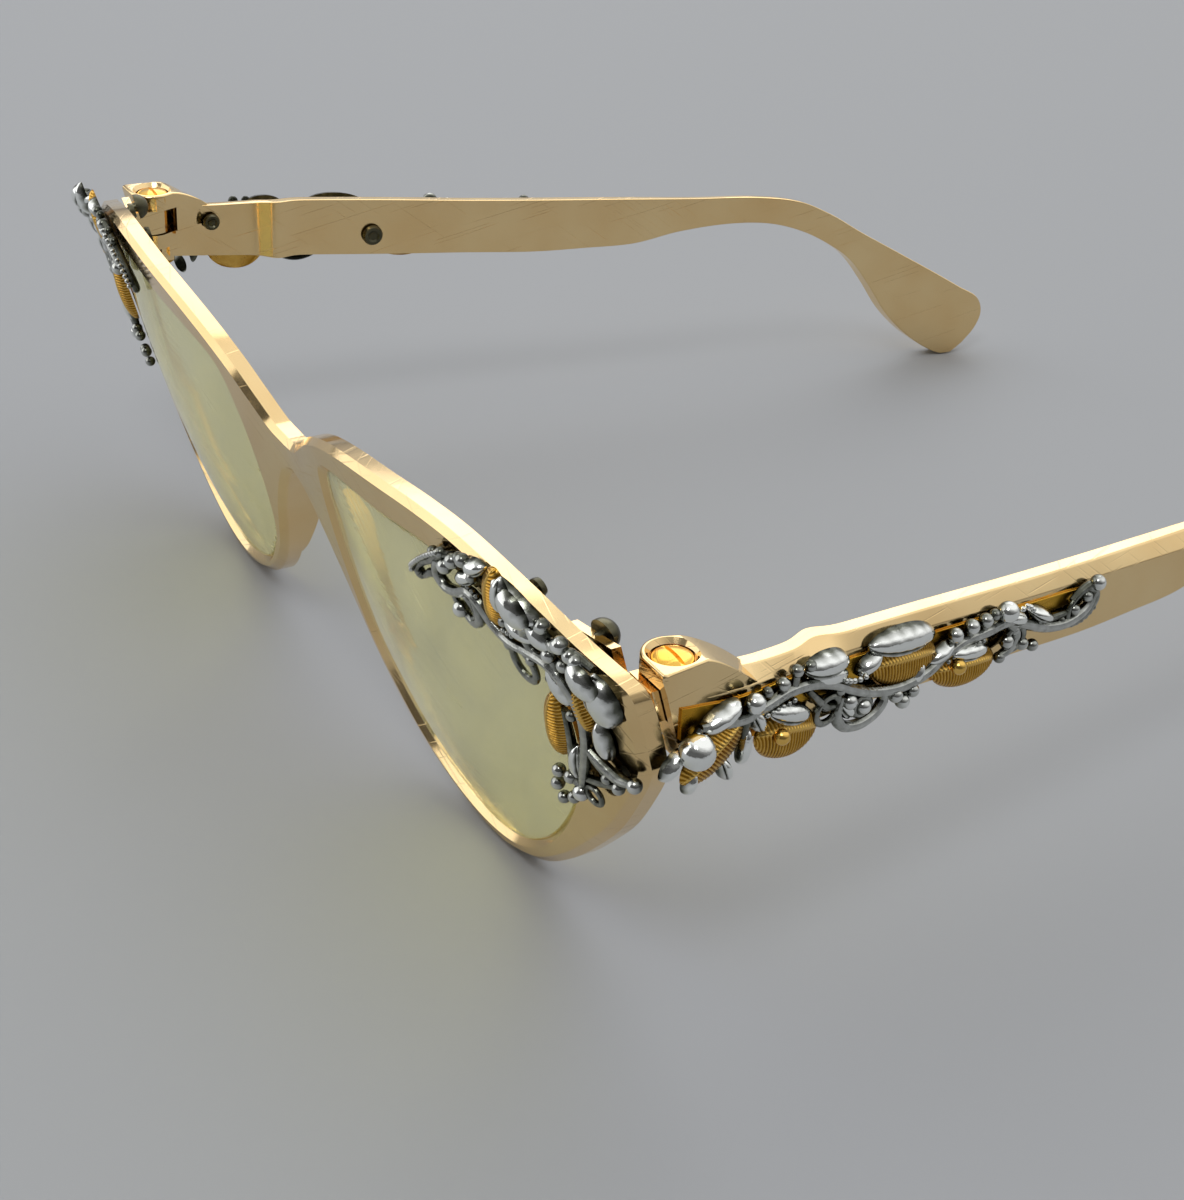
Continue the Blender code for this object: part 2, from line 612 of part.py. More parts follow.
def make_lenses():
    """Build the lenses, each with a thin tongue all round that sits in the groove."""
    opening = anticlockwise(smooth_path(stretched(LENS_OPENING), closed=True, steps=2))
    centre = front_place(*LENS_CENTRE)
    tongue_edge = offset_loop(opening, GROOVE_DEPTH - LENS_CLEARANCE)
    body_edge = offset_loop(opening, -LENS_CLEARANCE)
    middle = FRONT_THICKNESS / 2
    front, back = [], []
    for share in (0.15, 0.45, 0.75, 1.0):
        bulge = LENS_BULGE * (1 - share * share)
        ring = [centre + (p - centre) * share for p in body_edge]
        front.append([(p.x, middle - LENS_THICKNESS / 2 - bulge, p.y) for p in ring])
        back.append([(p.x, middle + LENS_THICKNESS / 2 - bulge, p.y) for p in ring])
    for loop in (body_edge, tongue_edge):
        front.append([(p.x, middle - LENS_TONGUE / 2, p.y) for p in loop])
        back.append([(p.x, middle + LENS_TONGUE / 2, p.y) for p in loop])
    mesh = lofted(front + back[::-1])
    for vertex in mesh.vertices:
        vertex.co.y += front_y(vertex.co.x, vertex.co.z)
    add_pair("lens", mesh, "lens", False)


def arc(centre, radius, start, end, steps):
    """Return points on an arc, with angles in degrees."""
    angles = [math.radians(start + (end - start) * i / steps) for i in range(steps + 1)]
    return [centre + radius * Vector((math.cos(a), math.sin(a))) for a in angles]


def front_clear_wedge(gap, at_x):
    """Return a wedge that keeps a gap behind the front's back face, up to the given x."""
    behind = FRONT_THICKNESS + gap
    reach = 8 * MM
    low, high = HINGE_BOTTOM - reach, HINGE_TOP + reach
    near_low, near_high = front_y(at_x, low) + behind, front_y(at_x, high) + behind
    left, right = PIVOT_X - 2 * reach, PIVOT_X + 2 * reach
    return lofted([[(x, near_low - 2 * reach, low), (x, near_low, low), (x, near_high, high),
                    (x, near_high - 2 * reach, high)] for x in (left, right)])


def make_lugs():
    """Build the hinge lugs: a riveted plate behind the wing and a tongue that holds the pivot."""
    pivot = Vector((PIVOT_X, PIVOT_Y))
    tongue_top, tongue_bottom = KNUCKLE_TOP - KNUCKLE_CLEARANCE, KNUCKLE_BOTTOM + KNUCKLE_CLEARANCE
    inner, outer = PIVOT_X - KNUCKLE_RADIUS, PIVOT_X + KNUCKLE_RADIUS
    plate_inner, plate_outer = PIVOT_X - LUG_PLATE_REACH, PIVOT_X - LUG_PLATE_INSET
    plate_top, plate_bottom = HINGE_TOP + LUG_MARGIN, KNUCKLE_BOTTOM - LUG_MARGIN
    step = LUG_MARGIN
    outline = [Vector(p) for p in (
        (plate_inner, plate_bottom), (plate_outer, plate_bottom), (plate_outer, tongue_bottom + step),
        (outer - step, tongue_bottom + step), (outer - step, tongue_top - step), (plate_outer, tongue_top - step),
        (plate_outer, plate_top), (plate_inner, plate_top))]
    plate = outline_solid([outline], LUG_THICKNESS)
    plate.transform(Matrix.Translation((0, FRONT_THICKNESS + SEAT_GAP, 0)))
    plate = bent_to_front(plate, LUG_BEND_SPACING)
    start = front_y(outer, HINGE_TOP)
    loop = [Vector((inner, start)), Vector((outer, start))] + arc(pivot, KNUCKLE_RADIUS, 0, 180, 12)
    tongue = plan_solid(loop, tongue_bottom, tongue_top)
    tongue = cut(tongue, front_clear_wedge(SEAT_GAP + 0.05 * MM, outer))
    lug = fused([plate, tongue])
    lug = cut(lug, upright_bore(SCREW_RADIUS + SCREW_FIT, tongue_bottom - MM, tongue_top + MM))
    for rivet in LUG_RIVETS:
        lug = cut(lug, front_rivet_bore(*rivet[:2]))
    add_pair("hinge_lug", lug, "gold_anodised", False)


def rivet_solid(length, head_radius, head_height):
    """Return a rivet along z: its shank ends at z = 0 and its domed head is below -length."""
    dome = [(head_radius * math.cos(a), -length - head_height * math.sin(a))
            for a in (math.radians(30 * i) for i in range(3))]
    profile = [(0, 0), (RIVET_RADIUS, 0), (RIVET_RADIUS, -length)] + dome + [(0, -length - head_height)]
    return turned(profile, 12)


def front_rivets(places, stack):
    """Return rivets through the front, with their heads behind a stack of the given thickness."""
    solids = []
    for x, z, head_radius, head_height in places:
        rivet = rivet_solid(stack, head_radius, head_height)
        rivet.transform(front_frame_at(x, z, 0))
        solids.append(rivet)
    return solids


def make_front_rivets():
    """Build the rivets of the lugs and of the front trim."""
    lean = math.cos(FRONT_TILT)
    lug_stack = (FRONT_THICKNESS + SEAT_GAP + LUG_THICKNESS) * lean + SEAT_GAP
    add_numbered_pairs("lug_rivet", front_rivets(LUG_RIVETS, lug_stack), "dark_rivet", False)
    trim_stack = FRONT_THICKNESS * lean + SEAT_GAP
    rivets = front_rivets(FRONT_TRIM_RIVETS, trim_stack)
    add_numbered_pairs("front_trim_rivet", rivets, "dark_rivet", False)


def temple_section(top, bottom):
    """Return one ring of the temple between its top edge and its bottom edge."""
    down = (bottom - top).normalized()
    height = (bottom - top).length
    chamfer = min(TEMPLE_EDGE_CHAMFER, 0.3 * height)
    slope = min(TEMPLE_TOP_SLOPE, 0.3 * height)
    stops = [(0.0, slope), (0.0, height - chamfer), (chamfer, height), (None, height),
             (None, height - chamfer), (None, 1.5 * chamfer), (None, 0.0)]
    ring = []
    for i, (inward, drop) in enumerate(stops):
        place = top + down * drop
        depth = temple_thickness(place.x)
        if inward is None:
            inward = depth if i in (4, 5) else depth - chamfer * (1.5 if i == 6 else 1.0)
        ring.append((temple_x(place.x) - inward, PIVOT_Y + place.x, place.y))
    return ring


def temple_arm():
    """Return the long arm of the left temple."""
    tops = smooth_path([temple_place(*top) for top, _ in TEMPLE_STATIONS], steps=2)
    bottoms = smooth_path([temple_place(*bottom) for _, bottom in TEMPLE_STATIONS], steps=2)
    return lofted([temple_section(a, b) for a, b in zip(tops, above_table(bottoms))])


def waist_x():
    """Return where the hinge head ends inside the arm."""
    return temple_x(HEAD_LENGTH) - temple_thickness(HEAD_LENGTH) / 2


def head_loop(radius, front):
    """Return the plan of one hinge flange, round on its inner side and carried out to the temple's skin."""
    pivot = Vector((PIVOT_X, PIVOT_Y))
    skin_front, skin_back = temple_x(front), temple_x(HEAD_LENGTH)
    return (arc(pivot, radius, 160, 270, 9)
            + [Vector((skin_front - 0.35 * MM, PIVOT_Y - radius)), Vector((skin_front, PIVOT_Y + front)),
               Vector((temple_x(HEAD_CORNER), PIVOT_Y + HEAD_CORNER)),
               Vector((skin_back - 2 * BLEND, PIVOT_Y + HEAD_LENGTH)), Vector((waist_x(), PIVOT_Y + HEAD_LENGTH))])


def make_temples():
    """Build the temples: an arm with a forked head that straddles the lug's tongue."""
    top_loop = head_loop(FLANGE_RADIUS, WEB_SETBACK - FLANGE_RADIUS)
    low_loop = head_loop(LOWER_FLANGE_RADIUS, WEB_SETBACK - LOWER_FLANGE_RADIUS)
    overlap = 4 * BLEND
    top_flange = plan_solid(top_loop, KNUCKLE_TOP - overlap, HINGE_TOP)
    bottom_flange = plan_solid(low_loop, HINGE_BOTTOM, KNUCKLE_BOTTOM + overlap)
    skin_inner = PIVOT_X + SKIN_OFFSET - SKIN_THICKNESS
    web_start = PIVOT_Y + KNUCKLE_RADIUS + WEB_SETBACK
    back = PIVOT_Y + HEAD_LENGTH
    web_loop = [Vector(p) for p in (
        (skin_inner, PIVOT_Y - FLANGE_RADIUS), (temple_x(-FLANGE_RADIUS) - BLEND, PIVOT_Y - FLANGE_RADIUS),
        (temple_x(HEAD_CORNER) - BLEND, PIVOT_Y + HEAD_CORNER), (temple_x(HEAD_LENGTH) - BLEND, back),
        (waist_x(), back), (PIVOT_X - WEB_THROAT, web_start), (skin_inner, web_start))]
    web = plan_solid(web_loop, KNUCKLE_BOTTOM - overlap, KNUCKLE_TOP + overlap)
    temple = fused([temple_arm(), top_flange, bottom_flange, web])
    room = 3 * FLANGE_RADIUS
    pocket_loop = [Vector(p) for p in (
        (PIVOT_X - room, PIVOT_Y - room), (skin_inner, PIVOT_Y - room), (skin_inner, web_start),
        (PIVOT_X - room, web_start))]
    temple = cut(temple, plan_solid(pocket_loop, KNUCKLE_BOTTOM, KNUCKLE_TOP))
    temple = cut(temple, front_clear_wedge(SEAT_GAP, temple_x(-FLANGE_RADIUS)))
    bore = SCREW_RADIUS + SCREW_FIT
    temple = cut(temple, upright_bore(bore, HINGE_BOTTOM - MM, HINGE_TOP + MM))
    recess = SCREW_HEAD_RADIUS + SEAT_GAP / 2
    floor = HINGE_TOP - SCREW_HEAD_HEIGHT - SEAT_GAP
    temple = cut(temple, upright_bore(recess, floor, HINGE_TOP + MM))
    for y, z, _, _ in TEMPLE_TRIM_RIVETS:
        depth = 2 * (TEMPLE_THICKNESS + TEMPLE_ROOT_SWELL)
        bore = turned([(0, depth), (RIVET_RADIUS + RIVET_FIT, depth),
                       (RIVET_RADIUS + RIVET_FIT, -depth), (0, -depth)], 12)
        bore.transform(temple_frame_at(y, z, 0))
        temple = cut(temple, bore)
    add_pair("temple", temple, "gold_anodised", True)


def make_temple_rivets():
    """Build the rivets that hold the temple trim, with their heads on the inner face."""
    solids = []
    for y, z, head_radius, head_height in TEMPLE_TRIM_RIVETS:
        back = temple_place(y - DRAWN_PIVOT_Y, z).x
        rivet = rivet_solid(temple_thickness(back - head_radius) + SEAT_GAP, head_radius, head_height)
        rivet.transform(temple_frame_at(y, z, 0))
        solids.append(rivet)
    add_numbered_pairs("temple_trim_rivet", solids, "dark_rivet", True)


def make_screws():
    """Build the hinge screws, with a domed head in the recess and a slot across it."""
    seat = HINGE_TOP - SCREW_HEAD_HEIGHT - SEAT_GAP / 2
    crown = HINGE_TOP - 0.1 * MM
    rim = seat + 0.55 * SCREW_HEAD_HEIGHT
    dome = [(SCREW_HEAD_RADIUS * math.cos(a), rim + (crown - rim) * math.sin(a))
            for a in (math.radians(90 * i / 4) for i in range(3, -1, -1))]
    profile = ([(0, crown)] + dome + [(SCREW_HEAD_RADIUS, seat), (SCREW_RADIUS, seat),
                                      (SCREW_RADIUS, HINGE_BOTTOM + 0.2 * MM),
                                      (0, HINGE_BOTTOM + 0.2 * MM)])
    screw = turned(profile, 20)
    screw.transform(Matrix.Translation((PIVOT_X, PIVOT_Y, 0)))
    reach = 2 * SCREW_HEAD_RADIUS
    slot = [Vector((PIVOT_X + a * reach, PIVOT_Y + b * SCREW_SLOT_WIDTH / 2))
            for a, b in ((-1, -1), (1, -1), (1, 1), (-1, 1))]
    screw = cut(screw, plan_solid(slot, crown - SCREW_SLOT_DEPTH, crown + MM))
    add_pair("hinge_screw", screw, "brass", True)


def stem_solid(points, frame_at, radius):
    """Return a round stem that runs over a surface."""
    curve = bpy.data.curves.new("stem", "CURVE")
    curve.dimensions = "3D"
    curve.bevel_depth = radius
    curve.bevel_resolution = 1
    curve.use_fill_caps = True
    spline = curve.splines.new("POLY")
    spline.points.add(len(points) - 1)
    for point, place in zip(spline.points, points):
        spot = frame_at(*place, STEM_RISE).translation
        point.co = (*spot, 1)
    stem = bpy.data.objects.new("stem", curve)
    bpy.context.scene.collection.objects.link(stem)
    return curve_to_mesh(stem)


def bead_solid(place, radius, frame_at, extra):
    """Return a bead that stands on a surface."""
    body = bmesh.new()
    bmesh.ops.create_uvsphere(body, u_segments=8, v_segments=4, radius=radius + extra)
    mesh = bpy.data.meshes.new("bead")
    body.to_mesh(mesh)
    body.free()
    mesh.transform(frame_at(*place, radius + TRIM_GAP))
    return mesh


def dome_solid(place, length, width, rise, turn, frame_at, segments=10):
    """Return a leaf-shaped dome, pointed at both ends, that stands on a surface."""
    body = bmesh.new()
    bmesh.ops.create_uvsphere(body, u_segments=segments, v_segments=6, radius=1)
    bmesh.ops.bisect_plane(body, geom=list(body.verts) + list(body.edges) + list(body.faces),
                           plane_co=(0, 0, 0), plane_no=(0, 0, -1), clear_outer=True, dist=0.0001)
    rim = [edge for edge in body.edges if edge.is_boundary]
    bmesh.ops.contextual_create(body, geom=rim)
    for vertex in body.verts:
        vertex.co.x *= length / 2
        taper = 1 - 0.45 * (2 * vertex.co.x / length) ** 2
        vertex.co.y *= width / 2 * taper
        vertex.co.z *= rise
    bmesh.ops.triangulate(body, faces=body.faces)
    bmesh.ops.recalc_face_normals(body, faces=body.faces)
    mesh = bpy.data.meshes.new("dome")
    body.to_mesh(mesh)
    body.free()
    mesh.transform(frame_at(*place, TRIM_GAP, math.radians(turn)))
    return mesh


def nearest_on_stems(place, stems):
    """Return the point of the stems that lies nearest to a place."""
    best = None
    for points in stems:
        for a, b in zip(points, points[1:]):
            a, b, here = Vector(a), Vector(b), Vector(place)
            share = max(0.0, min(1.0, (here - a).dot(b - a) / (b - a).length_squared))
            spot = a + (b - a) * share
            if best is None or (spot - here).length < (best - here).length:
                best = spot
    return best


def vine_solid(stems, beads, petals, frame_at, extra=0.0):
    """Return the silver casting: stems, with beads and petals on short stalks, in one body."""
    solids = [stem_solid(points, frame_at, STEM_RADIUS + extra) for points in stems]
    for place in [bead[:2] for bead in beads] + [petal[:2] for petal in petals]:
        seat = nearest_on_stems(place, stems)
        if (seat - Vector(place)).length * MM > 1.2 * STEM_RADIUS:
            solids.append(stem_solid([place, tuple(seat)], frame_at, STALK_RADIUS + extra))
    for x, z, radius in beads:
        solids.append(bead_solid((x, z), radius * MM, frame_at, extra))
    for x, z, length, width, turn in petals:
        size = (length * MM + 2 * extra, width * MM + 2 * extra, PETAL_RISE + extra)
        solids.append(dome_solid((x, z), *size, turn, frame_at))
    return fused(solids)


def leaf_solids(leaves, frame_at):
    """Return the gold leaves as separate domes."""
    return [dome_solid((x, z), length * MM, width * MM, LEAF_RISE, turn, frame_at)
            for x, z, length, width, turn in leaves]


def make_trim():
    """Build the silver vines and the gold leaves of the front and of the temples."""
    sets = (("front", FRONT_STEMS, FRONT_BEADS, FRONT_PETALS, FRONT_LEAVES, front_frame_at, False),
            ("temple", TEMPLE_STEMS, TEMPLE_BEADS, TEMPLE_PETALS, TEMPLE_LEAVES, temple_frame_at, True))
    for name, stems, beads, petals, leaves, frame_at, on_temple in sets:
        vine = vine_solid(stems, beads, petals, frame_at)
        clearance = vine_solid(stems, beads, petals, frame_at, extra=LEAF_CLEARANCE)
        leaf_row = [cut(leaf, clearance.copy()) for leaf in leaf_solids(leaves, frame_at)]
        add_pair(name + "_vine", vine, "silver_plate", on_temple)
        add_numbered_pairs(name + "_leaf", leaf_row, "leaf_gold", on_temple)


make_front()
make_lenses()
make_lugs()
make_front_rivets()
make_temples()
make_temple_rivets()
make_screws()
make_trim()
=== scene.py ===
"""Looks for the cat-eye eyeglasses: smooth polished metal, clear lenses and cast trim around the fixed frame.

Shapes are worked out in millimetres, with y = 0 at the top of the front's face, and then moved to the frame.
"""
import math

import bpy
from mathutils import Matrix, Vector


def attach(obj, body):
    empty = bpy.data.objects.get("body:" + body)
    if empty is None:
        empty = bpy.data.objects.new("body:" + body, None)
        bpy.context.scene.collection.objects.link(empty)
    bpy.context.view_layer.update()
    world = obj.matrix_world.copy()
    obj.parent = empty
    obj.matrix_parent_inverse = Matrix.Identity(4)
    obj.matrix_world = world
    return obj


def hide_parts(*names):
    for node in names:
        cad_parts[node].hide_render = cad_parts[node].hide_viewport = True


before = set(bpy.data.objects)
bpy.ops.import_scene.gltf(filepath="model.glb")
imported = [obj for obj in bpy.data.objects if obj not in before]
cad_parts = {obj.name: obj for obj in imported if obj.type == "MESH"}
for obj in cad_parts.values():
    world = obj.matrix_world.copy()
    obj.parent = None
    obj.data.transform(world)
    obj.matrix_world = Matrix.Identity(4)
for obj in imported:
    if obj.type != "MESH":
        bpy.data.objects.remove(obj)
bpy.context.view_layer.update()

# The front, in millimetres
HALF_WIDTH = 69.0
HEIGHT = 43.6
SHEET = 2.8
CHAMFER = 0.75
BACK_EDGE = 0.3
TILT = math.radians(15.6)
TILT_SLOPE = math.tan(TILT)
LEAN = math.cos(TILT)
CURVE_RADIUS = 184.0
CREST_X = 23.0
BRIDGE_SOFTNESS = 3.0
LENS_THICKNESS = 1.6
LENS_BULGE = 1.8
LENS_PLAY = 0.06
LENS_EDGE = 0.1
LENS_ACROSS = (12.2, 57.2)
LENS_UP = (2.4, 38.8)
LENS_SLICE = 1.5
FRONT_SLICE = 2.0
FLANGE_WALL = 1.1
FLANGE_DEPTH = 6.2
FLANGE_INSET = 0.12
FLANGE_START = 1.6
FLANGE_LIP = 0.3
LIP_HALF = 0.25

# The hinge: heights, sizes in plan, and an arc in degrees
HINGE_TOP = 38.4
KNUCKLE_TOP = 36.3
KNUCKLE_BOTTOM = 32.7
HINGE_BOTTOM = 30.7
PIVOT_INSET = 4.4
PIVOT_SETBACK = 4.6
HEAD_RADIUS = 2.9
LOWER_HEAD_RADIUS = 2.1
KNUCKLE_RADIUS = 1.9
SKIN_OFFSET = 2.95
SKIN = 0.8
HEAD_LENGTH = 6.4
HEAD_FRONT = 0.5
HEAD_ROOT = 32.9
HEAD_BEND = 1.5
HEAD_CORNER = 0.35
HEAD_END_INSET = 0.2
HEAD_ARC = (160, 270)
RAMP_START = 2.0
RAMP_END = 9.6
RAMP_DROP = 4.1
RAMP_SLICE = 0.5
LOWEST_RAMP = 0.2
WEB_SETBACK = 0.5
WEB_THROAT = 1.6
WEB_INSET = 0.1
WEB_BELOW = 0.3
WEB_LAP = 0.1
LAP = 0.4
SKIN_BOTTOM = 29.1
SKIN_REACH = 2.5
SKIN_INSET = 0.04
FOOT_BOTTOM = 28.4
FOOT_WIDTH = 3.4
FOOT_REACH = 2.4
FOOT_INSET = 0.03
FOOT_LAP = 0.2
TOP_HEAD_EDGE = 0.3
LOW_HEAD_EDGE = 0.2
HIDDEN_EDGE = 0.02
HINGE_GAP = 0.75
POCKET_REACH = 9
WEDGE_REACH = 16
WEDGE_MARGIN = 8

# The hinge screw and its seat
SCREW_RADIUS = 1.95
SHANK_RADIUS = 0.8
BORE_RADIUS = 0.87
SCREW_SEAT = 1.15
SCREW_CROWN = 0.1
SCREW_RIM = 0.5
SCREW_END = 0.2
SLOT_HALF = 0.2
SLOT_DEPTH = 0.35
SLOT_REACH = 4
RECESS_MOUTH = 0.55
RECESS_PLAY = 0.15
RECESS_CONE = 0.5
RECESS_DEPTH = 1.3

# The temples
REACH = 125.6
ARM_THICKNESS = 2.6
ROOT_SWELL = 1.3
SWELL_LENGTH = 5.5
CONVERGENCE = 0.1428
BOW = 0.000112
TOP_SLOPE = 1.6
TOP_FLAT = 1.7
SLOPE_SHARE = 0.3
FLAT_SHARE = 0.2
TOP_CAMBER = 0.08
ARM_EDGE = 0.2
BAND_PLACE = 16.2
BAND_WIDTH = 1.9
BAND_HEIGHT = 0.75
BAND_SIDE_SHARE = 0.3

# The trim
TRIM_GAP = 0.3
STEM_RADIUS = 0.58
STEM_RISE = 0.95
STEM_TAPER = 0.7
TAPERED_POINTS = 6
STALK_RADIUS = 0.4
SHORTEST_STALK = 1.2 * STEM_RADIUS
LONGEST_STALK = 3.6
SCROLL_RADIUS = 0.5
SCROLL_RISE = 0.8
GRAIN_RADIUS = 0.3
GRAIN_SPACING = 1.85 * GRAIN_RADIUS
TIP_POWER = 2.2
TIP_ROUNDNESS = 0.62
TIP_FALL = 0.8
LEAF_RISE = 1.3
RIB_SPACING = 0.36
RIB_DEPTH = 0.12
RIB_SLANT = 0.12
STRIP_PLACE = 0.3
STRIP_WIDTH = 0.12
STRIP_HEIGHT = 0.1
KNOB_RADIUS = 0.8
KNOB_LIFT = 0.9
PETAL_RISE = 1.8
CAP_RISE = 1.4
RIDGE_SPACING = 1.5
RIDGE_SLANT = 0.5
RIDGE_HEIGHT = 0.025
GROOVE_PLACE = -0.45
GROOVE_WIDTH = 0.14
GROOVE_DEPTH = 0.2
# Heights over the face across which a casting goes from painted shade in the hollows to a full painted
# highlight on the crests
HOLLOW_LIFT = 0.5
CREST_LIFT = 2.2
BACKING_DEPTH = 0.25
BACKING_EDGE = 0.05
BACKING_SPAN = (12.5, 66)
BACKING_SLICE = 2.0

# The rivets, with the profile of a dished head as shares of its radius and height
SEAT_GAP = 0.3
LUG_THICKNESS = 1.0
RIVET_RADIUS = 0.6
RIVET_REACH = 1.1
LOWEST_DOME = 1.0
DISHED_HEAD = [(1, 0), (1, 0.35), (0.86, 1), (0.6, 1), (0.42, 0.7), (0.2, 0.85)]

# Meshing
WELD = 0.0005
POINT_WELD = 0.002
SHARP_ANGLE = 32
SLOPE_STEP = 0.01

# Outline of one half of the front, x and height, over the brow to the wing's end and back to the bridge
BROW = [
    (0, 32.6), (3, 33.1), (6.5, 35.2), (11, 38), (16.5, 40.2), (23, 41.8), (31, 42.9), (39, 43.6),
    (46, 43.3), (54, 41.3), (61, 38.8), (65.8, 37.3), (67, 36.4), (67.38, 35), (67.5, 32.2)]
LOWER_EDGE = [
    (67.4, 29.6), (67.1, 27.7), (65, 24), (60.5, 17.6), (55.5, 12.2), (50, 7), (43.5, 2.3), (36.8, 0),
    (33.2, 0), (29, 0.8), (25, 2.1), (20.5, 4.4), (16.4, 7.7), (13, 11.5), (10.6, 15.5), (8.4, 19.5),
    (5.6, 23.6), (2.8, 26.8), (0, 28)]
LENS_OPENING = [
    (14.6, 35.6), (12.6, 31), (12, 25.5), (12.3, 19.8), (13.7, 14.6), (17, 10.2), (21.6, 6),
    (28, 3.1), (34, 2.1), (40, 3.2), (45.8, 7), (51, 12.6), (55, 19), (57.2, 25), (57.4, 30.5),
    (55.4, 34.8), (49, 37.7), (40, 39), (30, 38), (21, 37.2)]
LENS_CENTRE = Vector((34, 21.5))
FLANGE_PATH = [(14.6, 9.6), (13, 11.5), (10.6, 15.5), (8.4, 19.5), (5.6, 23.6), (3.2, 26.4)]
FLANGE_REACH = [0.5, 0.6, 0.78, 0.88, 1, 0.97]

# Temple stations: distance behind the pivot and height, of the top edge and of the bottom edge. The trim and
# its backing are drawn from a mark ahead of the pivot.
STATIONS = [
    ((1.6, 36.3), (1.6, 29.2)), ((7.3, 35.4), (7.3, 28.3)), ((12.5, 35.1), (12.5, 27.7)),
    ((17.3, 35), (17.3, 27.2)), ((30, 33.8), (30, 25.9)), ((42, 32.5), (42, 24.8)),
    ((52.3, 31.5), (52.3, 23.8)), ((60.3, 30.8), (60.3, 23.5)), ((68.3, 30.1), (67.8, 23.4)),
    ((77.3, 29.3), (74.8, 24.5)), ((86.3, 28.6), (82.3, 24.9)), ((93.3, 27.3), (88.8, 24.3)),
    ((98.8, 24.7), (94.3, 22.5)), ((103.8, 21.5), (99.1, 19.8)), ((108.3, 18.8), (102.7, 16.9)),
    ((112.8, 16.1), (105.9, 12.7)), ((117.3, 13.4), (108.9, 8.2)), ((121.3, 10.9), (111.9, 4.9)),
    ((124.5, 8.9), (114.9, 2.4)), ((125.6, 6.4), (117.6, 0.7)), ((124.8, 3.8), (119.3, 0)),
    ((123, 1.6), (120.9, 0))]
PIVOT_MARK = 12.7

# Trim on the left temple. Each place is a distance from the mark and a height. Beads add a radius; petals a
# length, a width and a turn; caps the same and a lift; rings a radius, a wire, a stretch and a turn; and rows
# of grains a rise.
TEMPLE_TRIM = {
    "stems": [
        [(13.4, 32.4), (16, 31.9), (18.6, 31.5), (21.2, 31.9), (23.6, 32.4), (26.4, 32.2), (29.2, 31.2),
         (31.6, 29.8), (34.4, 28.5), (37.8, 27.7), (41.2, 27.9), (43.6, 28.9), (46.2, 29.75), (49.6, 29.8),
         (52.6, 29.9), (55.4, 28.6), (58.6, 27.2), (61.6, 26.7), (64.2, 27.4), (65.6, 29)],
        [(35.9, 28.3), (36, 27), (34.8, 25.9), (32.8, 25.5), (30.9, 26.1), (30, 27.5), (30.5, 29.4)],
        [(52.6, 29.6), (53.9, 28.2), (53.2, 26.7), (51.9, 26.2)]],
    "beads": [
        (12.3, 30.9, 1.7), (19.4, 32.9, 1), (22.9, 33.5, 0.7), (24.5, 34.3, 0.65), (31.4, 28.6, 0.8),
        (45, 31, 0.8), (47.2, 31.2, 0.8), (49.2, 31.2, 0.75), (51.9, 31.4, 1.1), (52, 26, 0.6),
        (62.5, 27.9, 0.65), (64.2, 28.9, 0.65), (65.5, 30.1, 0.85)],
    "petals": [
        (15.9, 32.5, 5, 2.2, 20), (28.4, 33.5, 5.6, 2.8, -4), (38.2, 32.7, 8.8, 3.2, -7),
        (57.5, 29, 3.8, 1.6, -28)],
    "caps": [
        (23.9, 30.1, 5.4, 2.4, -20, 0.8), (47.2, 28.5, 5.2, 2, -8, 0.8), (20.2, 30.6, 3.4, 1.6, -62, 0.4),
        (28.9, 31.9, 5.4, 2.4, -12, 0.2), (34, 31.6, 3.4, 1.8, 30, 0.3), (43.5, 29.5, 3.6, 1.5, 24, 0.4),
        (40.4, 28.4, 2.8, 1.3, 62, 0.3), (53.7, 29.8, 3.4, 1.8, -20, 0.5), (31.4, 27.6, 3, 1.8, -50, 0.2),
        (10.8, 29.2, 3.4, 1.7, 50, 0.1), (12.9, 26.8, 2.8, 1.3, 75, 0.1), (16.9, 26.6, 3, 1.4, -70, 0.1),
        (18.9, 28.4, 4, 1.3, 82, 0.3)],
    "scrolls": [
        [(19.4, 32.7), (18.9, 30.8), (18.8, 29.3)],
        [(36.4, 28), (37.3, 27), (38.4, 26.3), (39.2, 26.6)],
        [(41.4, 28.2), (44.4, 29.3), (47.5, 29.8), (51.6, 30.2)],
        [(59.6, 26.9), (62.4, 26.3), (64.7, 26.8), (65.8, 28.3), (64.9, 29.8), (63.5, 29.6), (62.2, 28.9)],
        [(55.7, 28.5), (58.8, 28), (61.4, 27.8)],
        [(26.2, 31.6), (27.4, 30.2), (28.6, 29), (30, 28.5)]],
    "rings": [
        ((28.8, 28.6), 1.25, 0.34, 1.2, 30), ((33.2, 27.4), 0.9, 0.34, 1.15, 0),
        ((53.8, 27.6), 1.2, 0.36, 1.1, 20), ((63.6, 28), 1.5, 0.28, 1.4, 28)],
    "small_beads": [
        (37.6, 27, 0.75), (38.6, 26, 0.75), (39.9, 26.7, 0.7), (52.6, 27.7, 0.75), (55, 26.6, 0.7),
        (56.7, 25.8, 0.65), (53.7, 28.5, 0.6), (33.3, 27.4, 0.8), (26.2, 34.2, 0.6), (21.2, 33.2, 0.55),
        (50.6, 31.3, 0.6), (60.8, 27.2, 0.5), (30.2, 30.2, 0.6)],
    "grains": [
        ([(53.2, 30.9), (54.4, 31.3), (55.4, 30.6)], 1.6),
        ([(61.6, 26.2), (64, 26.3), (65.9, 27.4)], 1),
        ([(29.8, 31.7), (31.6, 31), (33.4, 31)], 1.5),
        ([(20.4, 31), (22.4, 31.3), (24.6, 31.6)], 1.3),
        ([(43.6, 28.1), (46, 29), (49, 29.1)], 1.2)],
}
TEMPLE_LEAVES = [
    (15.4, 29, 8.2, 4.2, 34), (24.2, 27.7, 7.8, 5.4, -12), (38.7, 30.2, 8.8, 5.2, -7),
    (47.3, 26.6, 8.8, 4.6, -8)]
